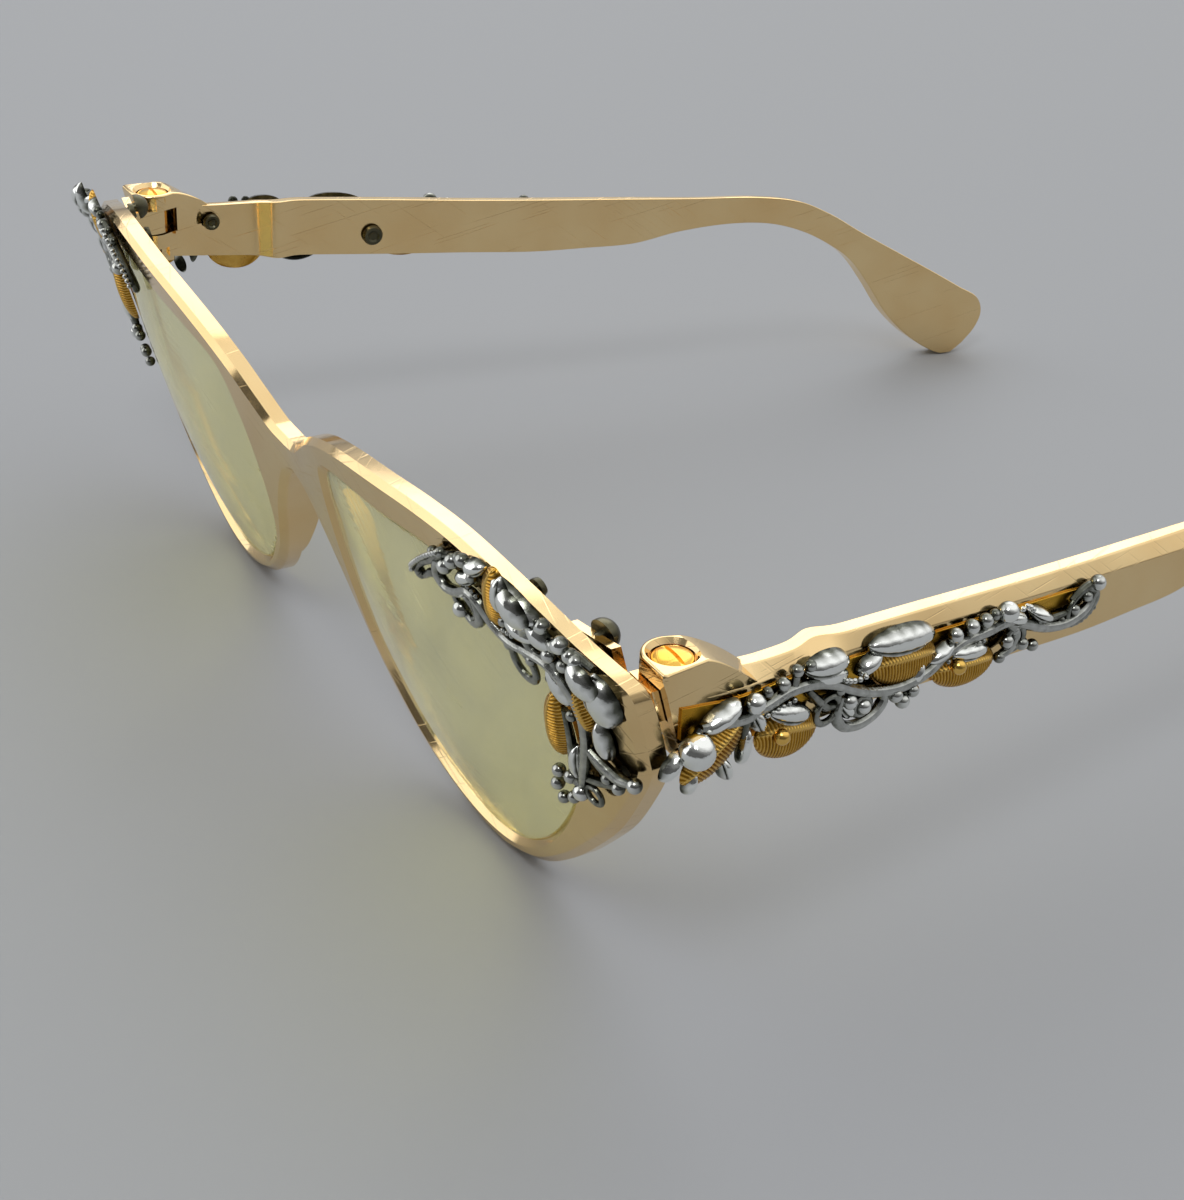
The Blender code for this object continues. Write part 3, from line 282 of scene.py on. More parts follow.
TEMPLE_KNOBS = {2: (22.6, 28.4), 4: (45.3, 27.7)}
BACKING_TOP = [
    (11.8, 34.5), (14.4, 34), (17, 33.5), (20, 33.2), (23.5, 33.2), (30, 32.8), (42.7, 31.6), (54, 30.5),
    (63, 29.6), (66.4, 29)]
BACKING_BOTTOM = [
    (66.6, 28.3), (60, 28.2), (54, 28.3), (42, 29), (30, 29.8), (20, 30.4), (14.4, 31), (11.8, 31.4)]

# Trim on the left half of the front. Each place is x and a height, and the rest is as on the temple.
FRONT_TRIM = {
    "stems": [
        [(45, 40), (43.4, 39.9), (42.9, 38.5), (44.1, 37.6), (46, 38.1), (48, 39.2), (49.6, 38.6),
         (51, 37.2), (53.4, 36.3), (56.2, 36.6), (58.6, 36.5), (60.6, 35), (61.6, 32.6), (61.3, 29.8),
         (60.4, 27), (59.4, 24.4), (58.6, 22.4)],
        [(56.2, 37.1), (55.9, 38.7), (57.1, 39.9), (58.7, 39.6), (59.2, 38.2)],
        [(60.9, 28.6), (62.8, 27.6), (64.8, 27), (66.6, 27.4)],
        [(48.4, 38.6), (48.9, 36.6), (47.6, 35.5), (46.2, 36)]],
    "beads": [
        (45.1, 40.6, 0.8), (46.7, 41.9, 0.75), (48.6, 42.9, 0.7), (61.4, 40.3, 0.85), (63.2, 39.4, 0.8),
        (59.2, 38, 0.75), (58.5, 21.9, 0.85), (57.2, 22.9, 0.7), (66.9, 27.6, 0.75), (46, 36.3, 0.85)],
    "petals": [(55.6, 41.7, 6.6, 2.4, -24), (64.8, 35.6, 5.6, 4.2, -78)],
    "caps": [
        (54.8, 42.5, 4.2, 1.8, 80, 1.2), (56.6, 42.1, 4.2, 3.2, -50, 1.6), (64, 38, 4, 3, -50, 1.4),
        (50.2, 42.8, 3.2, 1.8, 20, 0.4), (59.2, 34.6, 4.8, 2.2, -66, 0.4), (58.8, 25.4, 4.4, 1.8, 82, 0.4),
        (58.4, 39.6, 3.4, 2.4, -40, 0.6), (63.4, 30.4, 4.6, 1.8, -84, 0.2), (48, 40.6, 3.6, 1.8, 24, 0.3),
        (55, 38.4, 4.2, 2, -14, 0.3)],
    "scrolls": [
        [(39.4, 36.6), (38.7, 36.2), (38.4, 36.9), (39.4, 38), (41.9, 39.6), (43.8, 41), (46.2, 42.2)],
        [(39.5, 36.5), (41, 37.6), (42.8, 38.4)],
        [(56.6, 38.5), (58.3, 38.3), (59.4, 37), (59, 35.2), (57.6, 34.4)],
        [(61.8, 39.7), (63.2, 39.7), (64.9, 39.3)],
        [(60.6, 28.3), (61.8, 27.3), (62.9, 26)], [(58.2, 23.6), (61.4, 24.6), (64.3, 25.7)],
        [(58.9, 31.6), (58.6, 27.9), (57.8, 24.4), (57.4, 23.2)]],
    "rings": [
        ((46.7, 37), 1.3, 0.34, 1.3, -20), ((54.6, 34.6), 1.4, 0.36, 1.3, -60),
        ((57.3, 38.2), 1.3, 0.34, 1, 0), ((60.2, 22.4), 1, 0.3, 1, 0)],
    "small_beads": [
        (42.9, 41, 0.55), (44.6, 41.7, 0.6), (47.7, 42.7, 0.55), (59.3, 41.2, 0.75), (60.3, 39.6, 0.7),
        (62.4, 39.6, 0.75), (55.4, 22.6, 0.7), (54.6, 20.6, 0.7), (54.9, 19, 0.65), (56.7, 20.1, 0.65),
        (62.9, 26, 0.6), (64.3, 25.7, 0.65), (38.5, 36.5, 0.5), (52.9, 35.8, 0.6), (55.9, 35.6, 0.6),
        (49.4, 41.4, 0.6), (61, 37.8, 0.7), (62.6, 37.6, 0.6), (60, 31.6, 0.6), (53, 38.4, 0.6)],
    "grains": [
        ([(38.4, 36.4), (38.5, 37.5), (40.2, 39), (42.4, 40.6), (44.6, 42)], 1.5),
        ([(46.8, 39.6), (48.2, 40.1), (50, 39.4)], 1.1), ([(52.4, 37.6), (54.4, 37.6)], 1.2)],
}
FRONT_LEAVES = [(52.2, 40.3, 7.6, 3.8, 76), (56.8, 28.6, 8.4, 3.4, 80)]
FRONT_SMALL_LEAVES = [(61.7, 33.2, 5.4, 2.4, -82)]

# Rivets: place, radius of the head and its height
LUG_RIVETS = [(60.2, 37.2, 1.6, 1.5), (59.6, 33.4, 1.1, 0.6)]
FRONT_TRIM_RIVETS = [(64.6, 27.2, 1.1, 0.6), (53.2, 39.6, 1, 0.6)]
TEMPLE_TRIM_RIVETS = [(20.6, 33.2, 1.1, 0.6), (42.5, 28.9, 1.4, 0.6)]


def front_y(x, z):
    """Return where the front face lies, by the tilt and by the curve of each half."""
    across = math.sqrt(x * x + BRIDGE_SOFTNESS * BRIDGE_SOFTNESS) - CREST_X
    return TILT_SLOPE * (HEIGHT - z) + across * across / (2 * CURVE_RADIUS)


PIVOT_X = HALF_WIDTH - PIVOT_INSET
PIVOT_Y = front_y(PIVOT_X, HINGE_TOP) + SHEET + PIVOT_SETBACK
ORIGIN_Y = (PIVOT_Y + REACH) / 2
TO_FRAME = Matrix.Scale(0.001, 4) @ Matrix.Translation((0, -ORIGIN_Y, 0))
TO_PIVOT = Matrix.Translation((PIVOT_X, PIVOT_Y, 0))
SKIN_INNER = PIVOT_X + SKIN_OFFSET - SKIN
WEB_START = PIVOT_Y + KNUCKLE_RADIUS + WEB_SETBACK


# Materials. Noise sizes are in millimetres and bump depths in metres.

SCRATCH_SIZE = (0.22, 12.0, 12.0)
SCRATCH_EDGE = 0.06
SCRATCH_DEPTH = 0.00005
WAVE_DEPTH = 0.0006
CAST_DEPTH = 0.0001


def srgb(code):
    """Return the linear colour of a six-digit hex code."""
    values = [int(code[i:i + 2], 16) / 255 for i in (0, 2, 4)]
    return (*[v / 12.92 if v <= 0.04045 else ((v + 0.055) / 1.055) ** 2.4 for v in values], 1)


def feed(tree, node, inputs):
    """Set or link a node's inputs by name or number."""
    for key, value in inputs.items():
        if isinstance(value, bpy.types.NodeSocket):
            tree.links.new(value, node.inputs[key])
        else:
            node.inputs[key].default_value = value


def add_node(tree, kind, inputs=None, **settings):
    """Add a node with its settings and inputs."""
    node = tree.nodes.new(kind)
    for key, value in settings.items():
        setattr(node, key, value)
    feed(tree, node, inputs or {})
    return node


def new_material(name):
    """Return a new material, its node tree and its shader."""
    material = bpy.data.materials.new(name)
    material.use_nodes = True
    return material, material.node_tree, material.node_tree.nodes["Principled BSDF"]


def ramp(tree, factor, stops):
    """Return a ramp of colours, from place and hex pairs."""
    node = add_node(tree, "ShaderNodeValToRGB", {"Fac": factor})
    elements = node.color_ramp.elements
    while len(elements) < len(stops):
        elements.new(0.5)
    for element, (place, code) in zip(elements, stops):
        element.position = place
        element.color = srgb(code)
    return node.outputs["Color"]


def math_node(tree, operation, *values):
    """Return the result of an operation on values or sockets."""
    return add_node(tree, "ShaderNodeMath", dict(enumerate(values)), operation=operation).outputs[0]


def noise(tree, size_mm, detail, turn=(0, 0, 0)):
    """Return a noise with features of the given sizes in millimetres along x, y and z."""
    place = add_node(tree, "ShaderNodeTexCoord").outputs["Object"]
    sizes = size_mm if isinstance(size_mm, tuple) else (size_mm,) * 3
    turns = [math.radians(a) for a in turn]
    inputs = {"Vector": place, "Rotation": turns, "Scale": [s / 1000 for s in sizes]}
    mapped = add_node(tree, "ShaderNodeMapping", inputs, vector_type="TEXTURE").outputs["Vector"]
    inputs = {"Vector": mapped, "Scale": 1.0, "Detail": detail}
    return add_node(tree, "ShaderNodeTexNoise", inputs).outputs["Fac"]


def between(tree, value, low, high, start=0.0, end=1.0):
    """Return a value mapped from low and high to start and end."""
    inputs = {"Value": value, "From Min": low, "From Max": high, "To Min": start, "To Max": end}
    return add_node(tree, "ShaderNodeMapRange", inputs).outputs["Result"]


def scratches(tree, turns, start):
    """Return a mask of hairline scratches, one family for each turn, sparser from a higher start."""
    mask = None
    for turn in turns:
        lines = between(tree, noise(tree, SCRATCH_SIZE, 0.0, turn), start, start + SCRATCH_EDGE)
        mask = lines if mask is None else math_node(tree, "MAXIMUM", mask, lines)
    return mask


def bump(tree, height, strength, distance, **settings):
    """Return the normal of a bump with a height."""
    inputs = {"Height": height, "Strength": strength, "Distance": distance}
    return add_node(tree, "ShaderNodeBump", inputs, **settings).outputs["Normal"]


def polished_metal(name, pale, deep, rough_low, rough_high, scratch):
    """Return a polished metal with faint blotches, rubbed places and hairline scratches."""
    material, tree, shader = new_material(name)
    base = ramp(tree, noise(tree, 9.0, 3.0), [(0.3, deep), (0.7, pale)])
    lines = scratches(tree, [(0, 65, 20), (0, -50, 60)], 0.72)
    wear_and_painted_light = between(tree, noise(tree, 2.2, 4.0), 0.3, 0.7, rough_low, rough_high)
    roughness = math_node(tree, "MULTIPLY_ADD", lines, 0.1, wear_and_painted_light)
    scored = bump(tree, lines, scratch, SCRATCH_DEPTH, invert=True)
    waved = bump(tree, noise(tree, 6.0, 1.0), 0.1, WAVE_DEPTH)
    feed(tree, waved.node, {"Normal": scored})
    feed(tree, shader, {"Metallic": 1.0, "Base Color": base, "Roughness": roughness, "Normal": waved})
    return material


# Pale gold anodised aluminium, buffed: a soft champagne mirror that goes slightly rosy where it is rubbed.
GOLD = polished_metal("champagne_anodised_aluminium", "F7DAA3", "F0CE94", 0.08, 0.17, 0.25)
# Brass screw heads, lacquered: a stronger yellow than the sheet.
BRASS = polished_metal("lacquered_brass", "F5C763", "E0A840", 0.1, 0.2, 0.2)
# Oxidised brass rivets: greenish black with a dull shine.
DARK_BRASS = polished_metal("oxidised_brass", "6E6A55", "3B3A2E", 0.25, 0.45, 0.2)


def cast_metal(name, recess, body, edge, rough_low, rough_high):
    """Return a plated casting with painted shade over dark patina in the hollows and a painted highlight over
    rubbed wear on the crests.
    """
    material, tree, shader = new_material(name)
    patina_and_painted_light = add_node(tree, "ShaderNodeAttribute", attribute_name="patina_and_painted_light").outputs["Fac"]
    uneven = math_node(tree, "MULTIPLY_ADD", noise(tree, 0.8, 3.0), 0.3, patina_and_painted_light)
    # Painted shade in the hollows and a painted highlight on the crests, over real patina and wear
    base = ramp(tree, uneven, [(0.2, recess), (0.5, body), (1.0, edge)])
    roughness = between(tree, uneven, 0.1, 1.1, rough_high, rough_low)
    rough = bump(tree, noise(tree, 0.5, 3.0), 0.3, CAST_DEPTH)
    feed(tree, shader, {"Metallic": 1.0, "Base Color": base, "Roughness": roughness, "Normal": rough})
    return material


# Deep gold on the strip behind the castings: browner than the bare sheet.
DEEP_GOLD = polished_metal("deep_gold_strip", "D6A838", "B9841F", 0.2, 0.34, 0.2)
# Silver plated casting: a painted highlight over rubbed wear where it stands up, and painted shade over
# blackened patina in the hollows.
SILVER = cast_metal("antiqued_silver_with_painted_light", "20211A", "62645A", "F6F8F4", 0.08, 0.28)
# Gold plated leaves, antiqued: deep yellow ribs with brown between them; the rib crests carry a painted
# highlight and the brown between them is partly painted shade.
LEAF_GOLD = cast_metal("antiqued_gold_with_painted_light", "3A2204", "A87820", "F0C468", 0.2, 0.4)


def lens_material():
    """Return tinted plastic, which lets light through to the table."""
    material, tree, shader = new_material("tinted_lens")
    feed(tree, shader, {"Base Color": srgb("F6F2BE"), "Transmission Weight": 1.0, "IOR": 1.5,
                        "Roughness": 0.03})
    clear = add_node(tree, "ShaderNodeBsdfTransparent", {"Color": srgb("F2F0C8")})
    # Pale diffuse layer mixed in at the smears: partly dust, partly a painted sheen that lightens the lens
    dust_and_sheen = add_node(tree, "ShaderNodeBsdfDiffuse", {"Color": srgb("FBF7CE")})
    smears = between(tree, noise(tree, (7.0, 7.0, 14.0), 3.0, (0, 30, 0)), 0.35, 0.7, 0.04, 0.2)
    lines = scratches(tree, [(0, -53, 0)], 0.74)
    haze = math_node(tree, "MULTIPLY_ADD", lines, 0.12, smears)
    hazy = add_node(tree, "ShaderNodeMixShader", {0: haze, 1: shader.outputs[0], 2: dust_and_sheen.outputs[0]})
    shadow = add_node(tree, "ShaderNodeLightPath").outputs["Is Shadow Ray"]
    mix = add_node(tree, "ShaderNodeMixShader", {0: shadow, 1: hazy.outputs[0], 2: clear.outputs[0]})
    feed(tree, tree.nodes["Material Output"], {"Surface": mix.outputs[0]})
    return material


# Clear plastic lenses with a pale straw tint, a little smeared, the smears lightened by a pale layer that is
# partly dust and partly painted sheen.
LENS = lens_material()


# Shaping

def clamped(value):
    """Return the value kept between 0 and 1."""
    return max(0.0, min(1.0, value))


def smooth_path(points, closed=False, steps=8):
    """Return a smooth path through the points, with some steps in each span."""
    points = [Vector(p) for p in points]
    count = len(points)
    path = []
    for i in range(count if closed else count - 1):
        if closed:
            a, b, c, d = (points[(i + k - 1) % count] for k in range(4))
        else:
            b, c = points[i], points[i + 1]
            a = points[i - 1] if i > 0 else 2 * b - c
            d = points[i + 2] if i + 2 < count else 2 * c - b
        for step in range(steps):
            t = step / steps
            path.append(0.5 * ((2 * b) + (c - a) * t + (2 * a - 5 * b + 4 * c - d) * t * t
                               + (3 * b - a - 3 * c + d) * t * t * t))
    if not closed:
        path.append(points[-1])
    return path


def offset_loop(loop, distance):
    """Return the loop in anticlockwise order, moved outwards by the distance."""
    if sum(a.x * b.y - b.x * a.y for a, b in zip(loop, loop[1:] + loop[:1])) < 0:
        loop = loop[::-1]
    moved = []
    for i, here in enumerate(loop):
        along = (loop[(i + 1) % len(loop)] - loop[i - 1]).normalized()
        moved.append(here + distance * Vector((along.y, -along.x)))
    return moved


def primitive(add, **settings):
    """Return a primitive at the origin, selected alone."""
    bpy.ops.object.select_all(action="DESELECT")
    add(location=(0, 0, 0), **settings)
    return bpy.context.object


def linked(name, data):
    """Return a new object, selected alone."""
    piece = bpy.data.objects.new(name, data)
    bpy.context.scene.collection.objects.link(piece)
    bpy.ops.object.select_all(action="DESELECT")
    piece.select_set(True)
    bpy.context.view_layer.objects.active = piece
    return piece


def face_outwards(piece):
    """Weld a mesh's doubles and turn its faces outwards."""
    bpy.context.view_layer.objects.active = piece
    bpy.ops.object.mode_set(mode="EDIT")
    bpy.ops.mesh.select_all(action="SELECT")
    bpy.ops.mesh.remove_doubles(threshold=WELD)
    bpy.ops.mesh.normals_make_consistent(inside=False)
    bpy.ops.object.mode_set(mode="OBJECT")
    return piece


def as_mesh(piece):
    """Turn a curve into a welded mesh."""
    bpy.ops.object.convert(target="MESH")
    return face_outwards(piece)


def flat_plate(name, loops, thickness, rounding, segments=2):
    """Return a plate with the loops in x and z, its face at y = 0 and its edges rounded."""
    curve = bpy.data.curves.new(name, "CURVE")
    curve.dimensions = "2D"
    curve.fill_mode = "BOTH"
    curve.extrude = thickness / 2 - rounding
    curve.bevel_depth = rounding
    curve.bevel_resolution = segments
    for loop in loops:
        spline = curve.splines.new("POLY")
        spline.points.add(len(loop) - 1)
        for point, place in zip(spline.points, loop):
            point.co = (place.x, place.y, 0, 1)
        spline.use_cyclic_u = True
    plate = as_mesh(linked(name, curve))
    plate.data.transform(Matrix.Translation((0, thickness / 2, 0)) @ Matrix.Rotation(math.pi / 2, 4, "X"))
    return plate


def plan_plate(loop, bottom, top, rounding):
    """Return an upright prism with the loop in x and y and rounded edges."""
    plate = flat_plate("plan", [offset_loop(loop, -rounding)], top - bottom, rounding)
    plate.data.transform(Matrix.Translation((0, 0, top)) @ Matrix.Rotation(-math.pi / 2, 4, "X"))
    return plate


def sliced(piece, places, normal):
    """Cut the piece's faces along planes, without parting it."""
    bpy.context.view_layer.objects.active = piece
    bpy.ops.object.mode_set(mode="EDIT")
    for place in places:
        bpy.ops.mesh.select_all(action="SELECT")
        bpy.ops.mesh.bisect(plane_co=Vector(normal) * place, plane_no=normal, threshold=WELD)
    bpy.ops.object.mode_set(mode="OBJECT")


def steps_between(start, end, spacing):
    """Return evenly spaced places from start to end."""
    count = max(1, round((end - start) / spacing))
    return [start + (end - start) * i / count for i in range(count + 1)]


def lofted(rings):
    """Extrude a disc once for each ring of points, then set its corners on the rings."""
    count = len(rings[0])
    piece = primitive(bpy.ops.mesh.primitive_circle_add, vertices=count, fill_type="NGON",
                      enter_editmode=True)
    for _ in rings[1:]:
        bpy.ops.mesh.extrude_region_move(TRANSFORM_OT_translate={"value": (0, 0, 1)})
    bpy.ops.object.mode_set(mode="OBJECT")
    for vertex in piece.data.vertices:
        corner = round(math.atan2(vertex.co.x, vertex.co.y) / math.tau * count) % count
        vertex.co = rings[round(vertex.co.z)][corner]
    return face_outwards(piece)


def turned(profile, sides=48):
    """Turn a solid from radius and height pairs, by extruding and sizing a disc."""
    (radius, height), *rest = profile
    piece = primitive(bpy.ops.mesh.primitive_circle_add, vertices=sides, radius=radius, fill_type="NGON",
                      enter_editmode=True)
    bpy.ops.transform.translate(value=(0, 0, height))
    for next_radius, next_height in rest:
        bpy.ops.mesh.extrude_region_move(TRANSFORM_OT_translate={"value": (0, 0, next_height - height)})
        size = next_radius / radius
        bpy.ops.transform.resize(value=(size, size, 1), center_override=(0, 0, next_height))
        radius, height = next_radius, next_height
    bpy.ops.object.mode_set(mode="OBJECT")
    return face_outwards(piece)


def combined(piece, tool, operation):
    """Join a tool to the piece or cut it away, and remove the tool."""
    bpy.context.view_layer.objects.active = piece
    boolean = piece.modifiers.new("boolean", "BOOLEAN")
    boolean.operation = operation
    boolean.solver = "EXACT"
    boolean.object = tool
    bpy.ops.object.modifier_apply(modifier="boolean")
    bpy.data.objects.remove(tool)


def finished(piece, material):
    """Move a piece to the frame, shade it smooth and give it a material."""
    piece.data.transform(TO_FRAME)
    piece.data.materials.clear()
    piece.data.materials.append(material)
    piece.data.shade_smooth()
    piece.data.set_sharp_from_angle(angle=math.radians(SHARP_ANGLE))
    bpy.context.view_layer.objects.active = piece
    normals = piece.modifiers.new("normals", "WEIGHTED_NORMAL")
    normals.keep_sharp = True
    bpy.ops.object.modifier_apply(modifier="normals")
    return piece


def mirrored(piece):
    """Return a copy on the other side, with its faces pointing out."""
    copy = linked("mirrored", piece.data.copy())
    copy.data.transform(Matrix.Scale(-1, 4, (1, 0, 0)))
    copy.data.flip_normals()
    return copy


def settle(piece, body, slot, *nodes):
    """Ride a piece on its body and hide the nodes it stands for. The slot is not used."""
    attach(piece, body)
    if nodes:
        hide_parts(*nodes)


def settle_pair(piece, name, body, slot, material, nodes=True, number=""):
    """Finish the left piece and its mirror image, on the front or on each temple."""
    for side, half in (("left", piece), ("right", mirrored(piece))):
        node = f"{name}_{side}{number}"
        half.name = "fine_" + node
        finished(half, material)
        rides = body if body == "front" else f"{body}_{side}"
        settle(half, rides, slot, *([node] if nodes else []))


# Front

def bend_to_front(piece):
    """Lay a flat piece on the curve and tilt of the front."""
    xs = [v.co.x for v in piece.data.vertices]
    sliced(piece, steps_between(min(xs), max(xs), FRONT_SLICE)[1:-1], (1, 0, 0))
    for vertex in piece.data.vertices:
        vertex.co.y += front_y(vertex.co.x, vertex.co.z)


def make_front():
    """Build the pressed front plate with rounded edges."""
    half = [Vector((p.x, max(p.y, 0.0))) for p in smooth_path(BROW + LOWER_EDGE)]
    outline = half + [Vector((-p.x, p.y)) for p in half[-2:0:-1]]
    outline = offset_loop(outline, -CHAMFER)
    opening = offset_loop(smooth_path(LENS_OPENING, closed=True), CHAMFER)
    other = [Vector((-p.x, p.y)) for p in opening]
    plate = flat_plate("fine_front_frame", [outline, opening, other], SHEET, CHAMFER, segments=0)
    for vertex in plate.data.vertices:
        if abs(vertex.co.y - (SHEET - CHAMFER)) < WELD:
            vertex.co.y = SHEET - BACK_EDGE
    bend_to_front(plate)
    finished(plate, GOLD)
    settle(plate, "front", "gold_anodised", "front_frame")


def make_flanges():
    """Build the nose flanges, folded back from the edges of the nose opening."""
    path = smooth_path(FLANGE_PATH, steps=6)
    reach = smooth_path([(r, 0) for r in FLANGE_REACH], steps=6)
    rings = []
    for i, here in enumerate(path):
        along = (path[min(i + 1, len(path) - 1)] - path[max(i - 1, 0)]).normalized()
        side = Vector((along.y, -along.x))
        inner, outer = here + side * FLANGE_INSET, here + side * (FLANGE_INSET + FLANGE_WALL)
        back = max(reach[i].x * FLANGE_DEPTH, SHEET + FLANGE_LIP)
        lip = (inner + outer) / 2
        rings.append([
            (inner.x, FLANGE_START, inner.y), (outer.x, FLANGE_START, outer.y),
            (outer.x, back - FLANGE_LIP, outer.y),
            (lip.x + side.x * LIP_HALF, back, lip.y + side.y * LIP_HALF),
            (lip.x - side.x * LIP_HALF, back, lip.y - side.y * LIP_HALF),
            (inner.x, back - FLANGE_LIP, inner.y)])
    flange = lofted(rings)
    for vertex in flange.data.vertices:
        vertex.co.y += front_y(vertex.co.x, vertex.co.z)
    settle_pair(flange, "nose_flange", "front", "gold_anodised", GOLD, nodes=False)


def make_lenses():
    """Build the lenses, bulged forward from their edge in the groove."""
    edge = smooth_path(LENS_OPENING, closed=True, steps=6)
    inner = offset_loop(edge, -LENS_PLAY - LENS_EDGE)
    lens = flat_plate("lens", [inner], LENS_THICKNESS, LENS_EDGE, segments=1)
    sliced(lens, steps_between(*LENS_ACROSS, LENS_SLICE), (1, 0, 0))
    sliced(lens, steps_between(*LENS_UP, LENS_SLICE), (0, 0, 1))
    spokes = sorted((math.atan2(p.y - LENS_CENTRE.y, p.x - LENS_CENTRE.x), (p - LENS_CENTRE).length)
                    for p in edge)
    spokes = [(spokes[-1][0] - math.tau, spokes[-1][1])] + spokes + [(spokes[0][0] + math.tau, spokes[0][1])]
    for vertex in lens.data.vertices:
        out = Vector((vertex.co.x, vertex.co.z)) - LENS_CENTRE
        angle = math.atan2(out.y, out.x)
        last = next(i for i, spoke in enumerate(spokes) if spoke[0] >= angle)
        (a, near), (b, far) = spokes[max(last - 1, 0)], spokes[last]
        radius = near + (far - near) * ((angle - a) / (b - a) if b > a else 0)
        share = min(out.length / radius, 1.0)
        vertex.co.y += (SHEET - LENS_THICKNESS) / 2 - LENS_BULGE * (1 - share * share)
        vertex.co.y += front_y(vertex.co.x, vertex.co.z)
    settle_pair(lens, "lens", "front", "lens", LENS)


# Temples

def temple_x(back):
    """Return the outer face of the left temple at a distance behind the pivot."""
    return PIVOT_X + SKIN_OFFSET - CONVERGENCE * back - BOW * back * back


def arm_thickness(back):
    """Return the temple's thickness, which swells towards the hinge."""
    return ARM_THICKNESS + ROOT_SWELL * math.exp(-(max(back, 0) / SWELL_LENGTH) ** 2)


def plan_at(back, inset):
    """Return a spot of the temple in plan, an inset inside its outer face."""
    return Vector((temple_x(back) - inset, PIVOT_Y + back))


def rounded(corners, radius, segments=3):
    """Return a closed polygon with each corner replaced by a small arc."""
    points = []
    count = len(corners)
    for i, corner in enumerate(corners):
        before, after = corners[i - 1] - corner, corners[(i + 1) % count] - corner
        reach = min(radius, 0.45 * before.length, 0.45 * after.length)
        start, end = corner + before.normalized() * reach, corner + after.normalized() * reach
        for step in range(segments + 1):
            t = step / segments
            points.append(start * (1 - t) ** 2 + corner * 2 * t * (1 - t) + end * t * t)
    return points


def arm_section(top, bottom):
    """Return one ring of the temple: flat sides, a narrow flat on top and a slope to the outer face."""
    down = (bottom - top).normalized()
    height = (bottom - top).length
    slope = min(TOP_SLOPE, SLOPE_SHARE * height)
    flat = min(TOP_FLAT, FLAT_SHARE * height)
    back = (top.x + bottom.x) / 2
    swell = math.exp(-((back - BAND_PLACE) / BAND_WIDTH) ** 2)
    depth = arm_thickness(back) + BAND_HEIGHT * swell
    height += BAND_SIDE_SHARE * BAND_HEIGHT * swell
    corners = [Vector(p) for p in ((0, slope), (0, height), (depth, height), (depth, 0),
                                   (depth - flat, TOP_CAMBER))]
    section = []
    for inward, drop in rounded(corners, ARM_EDGE):
        place = top + down * drop
        section.append((temple_x(place.x) - inward, PIVOT_Y + place.x, place.y))
    return section


def arc(centre, radius, start, end, steps):
    """Return points on an arc, with angles in degrees."""
    angles = [math.radians(start + (end - start) * i / steps) for i in range(steps + 1)]
    return [centre + radius * Vector((math.cos(a), math.sin(a))) for a in angles]


def head_loop(radius, length):
    """Return the plan of a hinge flange, round inside and carried out to the temple's skin."""
    front = HEAD_FRONT - radius
    return (arc(Vector((PIVOT_X, PIVOT_Y)), radius, *HEAD_ARC, 24)
            + [Vector((temple_x(front) - HEAD_CORNER, PIVOT_Y - radius)), plan_at(front, 0),
               plan_at(HEAD_BEND, 0), plan_at(length, HEAD_END_INSET),
               plan_at(length, arm_thickness(length) / 2)])


def box_between(low, high):
    """Return a box cutter between two corners."""
    middle = (Vector(low) + Vector(high)) / 2
    box = primitive(bpy.ops.mesh.primitive_cube_add, size=1)
    box.data.transform(Matrix.Translation(middle) @ Matrix.Diagonal((*(Vector(high) - Vector(low)), 1)))
    return box


def run_down(piece, below):
    """Lower the top of a head piece in a ramp, so that it dies away in the arm."""
    sliced(piece, steps_between(PIVOT_Y + RAMP_START, PIVOT_Y + RAMP_END + RAMP_SLICE, RAMP_SLICE), (0, 1, 0))
    for vertex in piece.data.vertices:
        back = vertex.co.y - PIVOT_Y
        share = clamped((back - RAMP_START) / (RAMP_END - RAMP_START))
        lean = clamped(1 - (temple_x(back) - vertex.co.x) / arm_thickness(back))
        drop = RAMP_DROP * share * (0.4 + 0.6 * share * (2 - share))
        limit = max(HINGE_TOP - drop - below - TOP_SLOPE * lean * share, HEAD_ROOT + LOWEST_RAMP)
        if vertex.co.z > HEAD_ROOT and share > 0:
            if below == 0:
                limit = HEAD_ROOT + (vertex.co.z - HEAD_ROOT) * (limit - HEAD_ROOT) / (HINGE_TOP - HEAD_ROOT)
            vertex.co.z = min(vertex.co.z, limit)


